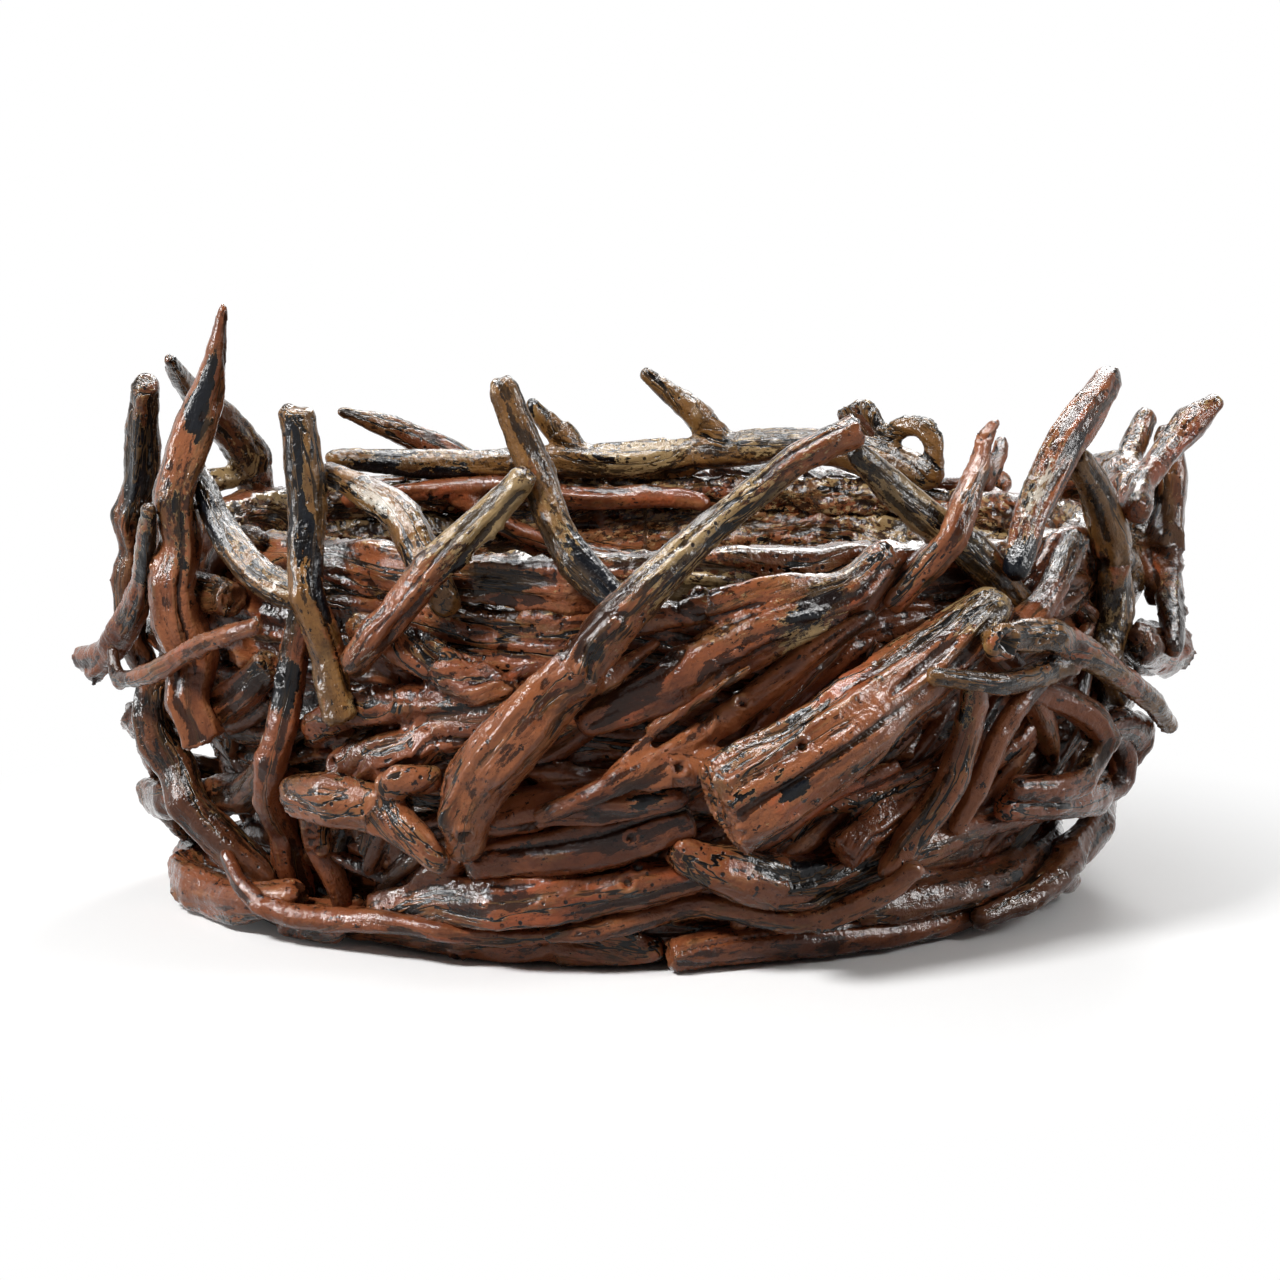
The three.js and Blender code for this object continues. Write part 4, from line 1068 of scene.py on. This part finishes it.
@dataclass
class Branch:
    """One clay branch, modelled over its CAD solid. Lengths are in millimetres."""

    node: str
    seed: int
    voxel: float = 1.06
    rough_voxel: float = 2.2
    band: float = 7.0
    rounding: int = 14
    least_rounding: int = 10
    most_rounding: int = 90
    usual_radius: float = 6.5
    torn: float = 0.5
    torn_width: float = 3.5
    knot_count: int = 2
    knot_radii: tuple[float, float] = (1.5, 3.0)
    floor: float = 0.2
    carving: Carving = field(default_factory=lambda: BRANCH_CARVING)

    def _knots(self, points: np.ndarray, seen: Seen) -> list[tuple[np.ndarray, float]]:
        """The knots that the photograph shows, and a few at random."""
        random = np.random.default_rng(self.seed)
        knots = list(seen.knots(self.node))
        for _ in range(random.integers(0, self.knot_count + 1)):
            knots.append((points[random.integers(len(points))], random.uniform(*self.knot_radii)))
        return knots

    def build(self, seen: Seen) -> bpy.types.Object:
        """Models the branch.

        Args:
            seen: The accents that the photograph shows.

        Returns:
            The branch's object.
        """
        solid = frame_copy(self.node)
        cuts = CutEnds(solid)
        skeleton = Skeleton.of_surface(remeshed(solid, self.rough_voxel), self.band)
        mesh = remeshed(solid, self.voxel)
        points, edges = points_of(mesh), edges_of(mesh)
        label = cuts.faces(points, 0.6 * self.voxel)
        inner = edges[label[edges[:, 0]] == label[edges[:, 1]]]
        # A thick branch's flats are wide, so they take more rounding
        thickness = np.median(np.hypot(*skeleton.grain(points[::16])[:, :2].T)) / self.usual_radius
        reach = min(max(self.rounding * thickness**2, self.least_rounding), self.most_rounding)
        rounds = round(reach / self.voxel**2)
        put_points(mesh, cuts.squared(rounded(points, normals_of(mesh), inner, rounds), points))
        points, normals = points_of(mesh), normals_of(mesh)
        grain = skeleton.grain(points)
        height, tone = self.carving.heights(grain, self.seed)
        raised, ringed = knotted(points, self._knots(points, seen))
        torn = Noise(self.seed + 31).ridges(points / self.torn_width, 2)
        on_cut = label >= 0
        height = np.where(on_cut, self.torn * thickness * torn, height + raised + self.carving.grown)
        tone = np.where(on_cut, 0.5 * torn + 0.3, tone + ringed)
        moved = points + cuts.outward(points, normals, label) * height[:, None]
        moved[:, 2] = np.maximum(moved[:, 2], self.floor)
        put_points(mesh, moved)
        calls = with_bloom_and_highlight(seen.marks(self.node, points, grain, self.seed), points, normals)
        put_finish(mesh, grain + own_shift(self.seed), tone, calls)
        piece = shown(f"{self.node}_clay", mesh)
        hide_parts(self.node)
        return piece

    def dress(self, piece: bpy.types.Object, palette: Palette) -> None:
        """Glazes the branch."""
        palette.coat(piece, palette.finish_of(self.node))


@dataclass
class Course:
    """One course of the coil-built wall, or the slab that it stands on. Lengths are in millimetres."""

    node: str
    seed: int
    voxel: float = 1.45
    rounding: int = 5
    rib: float = 1.2
    rib_width: float = 6.5
    rib_stretch: float = 7.0
    bark: float = 1.3
    bark_width: float = 5.0
    bark_stretch: float = 2.5
    crease: float = 1.1
    crease_width: float = 7.0
    fine_width: float = 2.8
    grown: float = 0.3
    ring: float = 140.0
    slab: bool = False
    slab_width: float = 4.5

    def _directions(self, points: np.ndarray) -> tuple[np.ndarray, np.ndarray, np.ndarray]:
        """Coordinates for the ribs, the bark and the glaze, drawn out round the wall."""
        if self.slab:
            # Fingers pressed the slab flat, so its marks run every way
            return points / self.slab_width, points / self.slab_width, points * 0.8
        around = np.arctan2(points[:, 0], -points[:, 1])
        # Whole turns close on themselves, because the noise runs round a circle
        circle = self.ring * np.stack([np.sin(around), np.cos(around)], axis=1)
        wander = 9 * Noise(self.seed + 3).layered(points / 55, 2) + 6 * np.sin(2 * around + 1)
        height_along = points[:, 2] + wander
        level = np.column_stack([circle / self.rib_stretch, height_along])
        rough = np.column_stack([circle / self.bark_stretch, height_along + 0.25 * circle[:, 0]])
        radius = np.hypot(points[:, 0], points[:, 1])
        return level, rough, np.stack([radius * 0.4, height_along, self.ring * around], axis=1)

    def build(self, seen: Seen) -> bpy.types.Object:
        """Models the course: ribbed outside like packed strands, rough as bark inside.

        Args:
            seen: The accents that the photograph shows.

        Returns:
            The course's object.
        """
        mesh = remeshed(frame_copy(self.node), self.voxel)
        put_points(mesh, rounded(points_of(mesh), normals_of(mesh), edges_of(mesh), self.rounding))
        points, normals = points_of(mesh), normals_of(mesh)
        level, rough, grain = self._directions(points)
        radius = np.hypot(points[:, 0], points[:, 1])
        inward = smoothstep(0.1, 0.5, -(normals[:, :2] * points[:, :2]).sum(axis=1) / radius)
        bark = Noise(self.seed).ridges(rough / self.bark_width, 3)
        ribs = Noise(self.seed + 1).ridges(level / self.rib_width, 2)
        fine = Noise(self.seed + 4).ridges(level / self.fine_width, 1) * self.rib / Course.rib
        lines = np.abs(Noise(self.seed + 2).layered(rough * [1, 1, 0.8] / self.crease_width, 2))
        crease = 1 - smoothstep(0.01, 0.1, lines)
        outer = self.rib * ribs + 0.4 * fine
        inner = self.bark * bark + 0.3 * fine
        height = inward * inner + (1 - inward) * outer - self.crease * crease * (0.4 + 0.6 * inward)
        tone = inward * bark + (1 - inward) * (0.6 * ribs + 0.4 * fine) - 1.5 * crease
        moved = points + normals * (height + self.grown)[:, None]
        flat = points[:, 2] < 0.6
        moved[flat, 2] = 0.0
        moved[:, 2] = np.maximum(moved[:, 2], 0.0)
        put_points(mesh, moved)
        calls = with_bloom_and_highlight(seen.marks(self.node, points, grain, self.seed), points, normals)
        calls[:, Kind.OLIVE.value] += 0.5 * inward
        # The wall takes less pale glaze and less painted highlight
        calls[:, Kind.PALE_AND_HIGHLIGHT.value] -= 0.3
        put_finish(mesh, grain + 13.1 * self.seed, tone, calls)
        piece = shown(f"{self.node}_clay", mesh)
        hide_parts(self.node)
        return piece

    def dress(self, piece: bpy.types.Object, palette: Palette) -> None:
        """Glazes the course."""
        palette.coat(piece, palette.finish_of(self.node))


class Wall:
    """The CAD wall's outer surface, on which strands can be laid."""

    COURSES = ("lower_course", "middle_course", "upper_course", "rim_course")
    RIM_STEP = 2.0

    def __init__(self) -> None:
        corners: list[Vector] = []
        faces: list[list[int]] = []
        for node in self.COURSES:
            mesh = frame["nodes"][node].data
            shift = len(corners)
            corners += [v.co.copy() for v in mesh.vertices]
            faces += [[shift + i for i in p.vertices] for p in mesh.polygons]
        self._tree = BVHTree.FromPolygons(corners, faces)
        low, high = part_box("rim_course")
        self.half_length = high.x / MM
        self.half_depth = high.y / MM
        self.height = high.z / MM
        self.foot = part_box("lower_course")[0].z / MM

    def spot(self, azimuth: float, level: float, out: float) -> np.ndarray:
        """A point near the wall, in millimetres.

        Args:
            azimuth: Degrees from the front, towards +X.
            level: The height as a share of the wall's.
            out: The distance out from the wall's face.

        Returns:
            The point.
        """
        turn = math.radians(azimuth)
        away = Vector((2 * self.half_length * math.sin(turn), -2 * self.half_depth * math.cos(turn), 0))
        towards = -away.normalized()
        away.z = max(level * self.height, self.foot + 2)
        hit = self._tree.ray_cast(away * MM, towards)[0]
        # The rim rises and falls. A ray that passes over it would meet the far side, so it comes down
        while hit is None or hit.xy.dot(away.xy) < 0:
            away.z -= self.RIM_STEP
            hit = self._tree.ray_cast(away * MM, towards)[0]
        hit = hit / MM
        flat = Vector((hit.x / self.half_length**2, hit.y / self.half_depth**2, 0)).normalized()
        return np.array([hit.x + flat.x * out, hit.y + flat.y * out, min(level * self.height, away.z)])


@dataclass(frozen=True)
class Route:
    """A strand's course over the wall: points of azimuth, level and distance out."""

    radius: float
    points: tuple[tuple[float, float, float], ...]


@dataclass(frozen=True)
class Weave:
    """A family of strands laid at random over a part of the wall, all much the same way.

    azimuths and rise are in degrees, levels are shares of the wall's height, and length, radii
    and out are in millimetres.
    """

    count: int
    azimuths: tuple[float, float]
    levels: tuple[float, float]
    rise: tuple[float, float]
    length: tuple[float, float] = (45.0, 110.0)
    radii: tuple[float, float] = (2.4, 4.2)
    out: tuple[float, float] = (-0.4, 1.8)
    # A family's glaze is darker than the branches', which partly paints shade between them
    finish: Finish = Finish.UMBER

    def routes(self, wall: Wall, seed: int) -> list[Route]:
        """The family's routes.

        Args:
            wall: The wall on which they lie.
            seed: A number of the family's own.

        Returns:
            A route for each strand.
        """
        random = np.random.default_rng(seed)
        made = []
        for _ in range(self.count):
            azimuth, level = random.uniform(*self.azimuths), random.uniform(*self.levels)
            rise, bend = math.radians(random.uniform(*self.rise)), random.uniform(-0.35, 0.35)
            length, radius = random.uniform(*self.length), random.uniform(*self.radii)
            out = random.uniform(*self.out)
            stops = []
            for share in np.linspace(-0.5, 0.5, 7):
                angle = rise + bend * share
                level_here = level + length * share * math.sin(angle) / wall.height
                turn = math.degrees(length * share * math.cos(angle) / wall.half_length)
                lift = out + 0.8 * math.cos(7 * share + azimuth)
                stops.append((azimuth + turn, min(max(level_here, 0.03), 1.0), lift))
            made.append(Route(radius, tuple(stops)))
        return made


@dataclass
class Thicket:
    """Thin strands of clay, fused into one mat that packs the spaces between the branches."""

    name: str
    routes: list[Route]
    finish: Finish
    seed: int
    sides: int = 10
    step: float = 4.0
    spacing: float = 40.0
    floor: float = 0.2
    voxel: float = 1.2
    rounding: int = 3
    carving: Carving = field(default_factory=lambda: STRAND_CARVING)

    def _line(self, wall: Wall, route: Route) -> np.ndarray:
        """A smooth, evenly stepped centreline through a route."""
        stops = np.array([wall.spot(*p) for p in route.points])
        padded = np.vstack([2 * stops[0] - stops[1], stops, 2 * stops[-1] - stops[-2]])
        dense = []
        for i in range(1, len(padded) - 2):
            before, here, there, after = padded[i - 1 : i + 3]
            for t in np.linspace(0, 1, 9)[:-1]:
                bend = (2 * before - 5 * here + 4 * there - after) * t**2
                twist = (3 * here - before - 3 * there + after) * t**3
                dense.append(0.5 * (2 * here + (there - before) * t + bend + twist))
        dense.append(stops[-1])
        dense = np.array(dense)
        run = np.concatenate([[0], np.cumsum(np.linalg.norm(np.diff(dense, axis=0), axis=1))])
        even = np.linspace(0, run[-1], max(4, round(run[-1] / self.step)))
        return np.stack([np.interp(even, run, dense[:, k]) for k in range(3)], axis=1)

    def _tube(self, work: bmesh.types.BMesh, line: np.ndarray, radius: float) -> None:
        """Adds a closed tube with rounded ends."""
        along = unit(np.gradient(line, axis=0))
        side = unit(np.cross(along[0], Skeleton.LINE_SIDE))
        ends = np.linspace(-1, 1, len(line))
        rings = []
        for centre, tangent, end in zip(line, along, ends):
            side = unit(side - tangent * side.dot(tangent))
            across = np.cross(tangent, side)
            size = radius * max(0.35, (1 - abs(end) ** 5)) ** 0.5
            ring = []
            for corner in range(self.sides):
                angle = 2 * math.pi * corner / self.sides
                place = centre + size * (math.cos(angle) * side + math.sin(angle) * across)
                ring.append(work.verts.new(Vector(place) * MM))
            rings.append(ring)
        for ring, after in zip(rings[:-1], rings[1:]):
            for corner in range(self.sides):
                nearby = (corner + 1) % self.sides
                work.faces.new((ring[corner], ring[nearby], after[nearby], after[corner]))
        work.faces.new(rings[0][::-1])
        work.faces.new(rings[-1])

    def build(self, wall: Wall, seen: Seen) -> bpy.types.Object:
        """Models the mat of strands.

        Args:
            wall: The wall on which they lie.
            seen: The accents, which lean the glaze of each piece its own way.

        Returns:
            The thicket's object.
        """
        work = bmesh.new()
        skeleton = Skeleton()
        run = 0.0
        for route in self.routes:
            line = self._line(wall, route)
            self._tube(work, line, route.radius)
            skeleton.add_line(line, run)
            run = skeleton.runs[-1][1] + self.spacing
        draft = bpy.data.meshes.new(self.name)
        work.to_mesh(draft)
        work.free()
        mesh = remeshed(draft, self.voxel)
        put_points(mesh, rounded(points_of(mesh), normals_of(mesh), edges_of(mesh), self.rounding))
        points, normals = points_of(mesh), normals_of(mesh)
        grain = skeleton.grain(points)
        height, tone = self.carving.heights(grain, self.seed)
        moved = points + normals * (height + self.carving.grown)[:, None]
        moved[:, 2] = np.maximum(moved[:, 2], self.floor)
        put_points(mesh, moved)
        calls = with_bloom_and_highlight(seen.marks(self.name, points, grain, self.seed), points, normals)
        put_finish(mesh, grain + own_shift(self.seed), tone, calls)
        return shown(self.name, mesh)

    def dress(self, piece: bpy.types.Object, palette: Palette) -> None:
        """Glazes the strands."""
        palette.coat(piece, self.finish)


# The strands that the photograph shows between the larger branches
SEEN_STRANDS = [
    Route(4.9, ((-46, 0.26, 6), (-45, 0.17, 6), (-45, 0.08, 6))),
    Route(5.2, ((-49, 0.36, 5), (-54, 0.2, 6), (-59, 0.06, 7))),
    Route(5.0, ((-46, 0.52, 5), (-50, 0.42, 6), (-55, 0.32, 6))),
    Route(3.5, ((11, 0.29, 6), (15, 0.34, 7), (21, 0.43, 7), (29, 0.49, 7))),
    Route(2.8, ((22, 0.4, 5), (27, 0.44, 6), (33, 0.48, 7), (39, 0.56, 6))),
    Route(4.7, ((38, 0.84, 4), (42, 0.74, 5), (50, 0.6, 5), (58, 0.42, 5))),
    Route(4.4, ((60, 0.3, 8), (69, 0.3, 14), (77, 0.31, 20), (75, 0.42, 14), (65, 0.48, 8))),
    Route(4.6, ((82, 0.26, 16), (78, 0.17, 18), (72, 0.13, 12), (60, 0.1, 6))),
]


FOOT = (-12, 12)
LOW = (0.5, 3.0)
# The families of strands that pack the rest of the wall. Their darker umber and dark glazes are partly
# painted shade in the gaps between the branches
WEAVES = {
    "front_foot": Weave(18, (-58, 52), (0.04, 0.16), FOOT, (50, 110), (2.6, 4.2), LOW),
    "front_left": Weave(18, (-62, -26), (0.18, 0.56), (15, 70), (30, 70), finish=Finish.DARK),
    "front_middle": Weave(22, (-30, 30), (0.16, 0.52), (12, 38), (40, 95)),
    "front_right": Weave(26, (14, 62), (0.3, 0.92), (28, 58), (40, 90)),
    "right": Weave(30, (58, 120), (0.12, 0.92), (-55, 62), (40, 100), (2.6, 4.6), finish=Finish.DARK),
    "right_back": Weave(30, (115, 180), (0.1, 0.92), (-40, 50), (50, 120), (2.6, 4.6)),
    "left_back": Weave(30, (180, 245), (0.1, 0.92), (-45, 45), (50, 120), (2.6, 4.6)),
    "left": Weave(30, (240, 300), (0.1, 0.92), (-50, 60), (40, 100), (2.6, 4.6), finish=Finish.DARK),
    "back_foot": Weave(24, (55, 300), (0.04, 0.14), FOOT, (60, 130), (2.6, 4.2), LOW),
}


# The studio


@dataclass(frozen=True)
class Softbox:
    """An area light. Lengths are in metres, the power in watts.

    A mirrored one is a strip that only the gloss shows, as a glint, and that adds no light.
    """

    name: str
    place: tuple[float, float, float]
    width: float
    depth: float
    power: float
    mirrored: bool = False


@dataclass
class Studio:
    """A round pale sweep, softboxes and the camera at the photograph's angle. Lengths are in metres."""

    view: PhotoView = field(default_factory=PhotoView)
    radius: float = 3.0
    bend: float = 0.9
    rim: float = 1.3
    near: float = 0.12
    far: float = 0.32
    room_light: float = 0.14
    boxes: tuple[Softbox, ...] = (
        Softbox("key softbox", (-0.75, -0.9, 1.25), 0.38, 0.28, 28),
        Softbox("right fill", (1.3, -0.5, 0.9), 0.4, 0.4, 6),
        Softbox("back fill", (0.35, 1.3, 1.1), 0.6, 0.4, 16),
        Softbox("overhead strip", (0.0, -0.12, 1.3), 1.5, 0.2, 75, mirrored=True),
        Softbox("back strip", (0.0, 0.6, 1.1), 1.5, 0.12, 27, mirrored=True),
        Softbox("left strip", (-1.2, -0.35, 0.6), 0.2, 0.9, 42, mirrored=True),
        Softbox("right strip", (1.2, -0.45, 0.6), 0.2, 0.9, 24, mirrored=True),
    )

    def _paper(self) -> bpy.types.Material:
        """Matt white paper, which fades to plain white away from the bowl."""
        tree = NodeTree("matt white paper")
        place = tree.add("TexCoord", out="Object")
        away = tree.add("VectorMath", {0: place}, "Value", operation="LENGTH")
        fade = tree.add("MapRange", {0: away, 1: self.near, 2: self.far}, interpolation_type="SMOOTHSTEP")
        paper = tree.add("BsdfDiffuse", {"Color": linear("FFFFFF")})
        white = tree.add("Emission", {"Color": linear("FFFFFF"), "Strength": 1.0})
        bright = tree.add("MixShader", {0: fade, 1: paper, 2: white})
        # What is seen or mirrored is white. The light thrown back on the bowl is that of grey paper
        camera = tree.add("LightPath", out="Is Camera Ray")
        glossy = tree.add("LightPath", out="Is Glossy Ray")
        through = tree.add("LightPath", out="Is Transmission Ray")
        seen = tree.add("Math", {0: camera, 1: glossy}, operation="MAXIMUM")
        seen = tree.add("Math", {0: seen, 1: through}, operation="MAXIMUM")
        grey = tree.add("BsdfDiffuse", {"Color": linear("9C9A97")})
        tree.add("OutputMaterial", {0: tree.add("MixShader", {0: seen, 1: grey, 2: bright})}, None)
        return tree.material

    def _sweep(self) -> bpy.types.Object:
        """The round floor that curves up into a low wall."""
        work = bmesh.new()
        flat = self.radius - self.bend
        profile = [(0.0, 0.0), (self.far, 0.0), (flat, 0.0)]
        for turn in np.linspace(0, math.pi / 2, 13)[1:]:
            profile.append((flat + self.bend * math.sin(turn), self.bend * (1 - math.cos(turn))))
        profile.append((self.radius, self.rim))
        line = [work.verts.new((x, 0, z)) for x, z in profile]
        edges = [work.edges.new(pair) for pair in zip(line[:-1], line[1:])]
        full_turn = {"cent": (0, 0, 0), "axis": (0, 0, 1), "angle": 2 * math.pi, "steps": 96}
        bmesh.ops.spin(work, geom=line + edges, use_merge=True, **full_turn)
        bmesh.ops.remove_doubles(work, verts=work.verts, dist=MM)
        bmesh.ops.recalc_face_normals(work, faces=work.faces)
        mesh = bpy.data.meshes.new("studio sweep")
        work.to_mesh(mesh)
        work.free()
        mesh.shade_smooth()
        sweep = bpy.data.objects.new("studio sweep", mesh)
        bpy.context.scene.collection.objects.link(sweep)
        mesh.materials.append(self._paper())
        return sweep

    def _light(self, box: Softbox) -> None:
        """Hangs a softbox and turns it to the bowl."""
        data = bpy.data.lights.new(box.name, "AREA")
        data.shape = "RECTANGLE"
        data.size, data.size_y = box.width, box.depth
        data.energy = box.power
        light = bpy.data.objects.new(box.name, data)
        light.visible_camera = False
        light.visible_diffuse = not box.mirrored
        light.location = box.place
        aim = Vector((0, 0, 0.1)) - Vector(box.place)
        light.rotation_euler = aim.to_track_quat("-Z", "Y").to_euler()
        bpy.context.scene.collection.objects.link(light)

    def build(self) -> None:
        """Sets up the sweep, the world, the lights and the camera."""
        scene = bpy.context.scene
        self._sweep()
        for box in self.boxes:
            self._light(box)
        world = bpy.data.worlds.new("studio room")
        world.use_nodes = True
        world.node_tree.nodes["Background"].inputs[0].default_value = linear("F6F0EA")
        world.node_tree.nodes["Background"].inputs[1].default_value = self.room_light
        scene.world = world
        camera = bpy.data.objects.new("camera", bpy.data.cameras.new("camera"))
        camera.data.lens = self.view.lens
        camera.data.sensor_width = self.view.film
        camera.location = self.view.eye
        aim = Vector(self.view.target) - Vector(self.view.eye)
        camera.rotation_euler = aim.to_track_quat("-Z", "Y").to_euler()
        scene.collection.objects.link(camera)
        scene.camera = camera
        scene.view_settings.view_transform = "Standard"


def report(piece: bpy.types.Object) -> int:
    """Logs a piece and gives its number of triangles."""
    count = sum(len(p.vertices) - 2 for p in piece.data.polygons)
    LOG.info("%s: %d triangles", piece.name, count)
    return count


def main() -> None:
    """Builds the bowl, piece by piece, and the studio."""
    logging.basicConfig(level=logging.INFO, format="%(name)s: %(message)s")
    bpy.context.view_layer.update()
    palette, wall = Palette(), Wall()
    seen = Seen(PhotoView(), ACCENTS)
    coarse = 1.0
    seed, total = 0, 0
    for node in sorted(frame["nodes"]):
        seed += 11
        if node == "base_slab":
            part = Course(node, seed, voxel=Course.voxel * coarse, rib=0.5, bark=0.5, crease=0.4, slab=True)
        elif node in Wall.COURSES:
            part = Course(node, seed, voxel=Course.voxel * coarse)
        else:
            part = Branch(node, seed, voxel=Branch.voxel * coarse)
        piece = part.build(seen)
        part.dress(piece, palette)
        total += report(piece)
    # The strands take darker glazes, which partly paints shade between the branches
    families = [("seen_strands", SEEN_STRANDS, Finish.UMBER)]
    for number, (name, weave) in enumerate(WEAVES.items(), 5):
        families.append((f"{name}_strands", weave.routes(wall, number), weave.finish))
    for name, routes, finish in families:
        seed += 11
        part = Thicket(name, routes, finish, seed, voxel=Thicket.voxel * coarse)
        piece = part.build(wall, seen)
        part.dress(piece, palette)
        total += report(piece)
    LOG.info("the whole bowl: %d triangles", total)
    Studio().build()


if __name__ == "__main__":
    main()
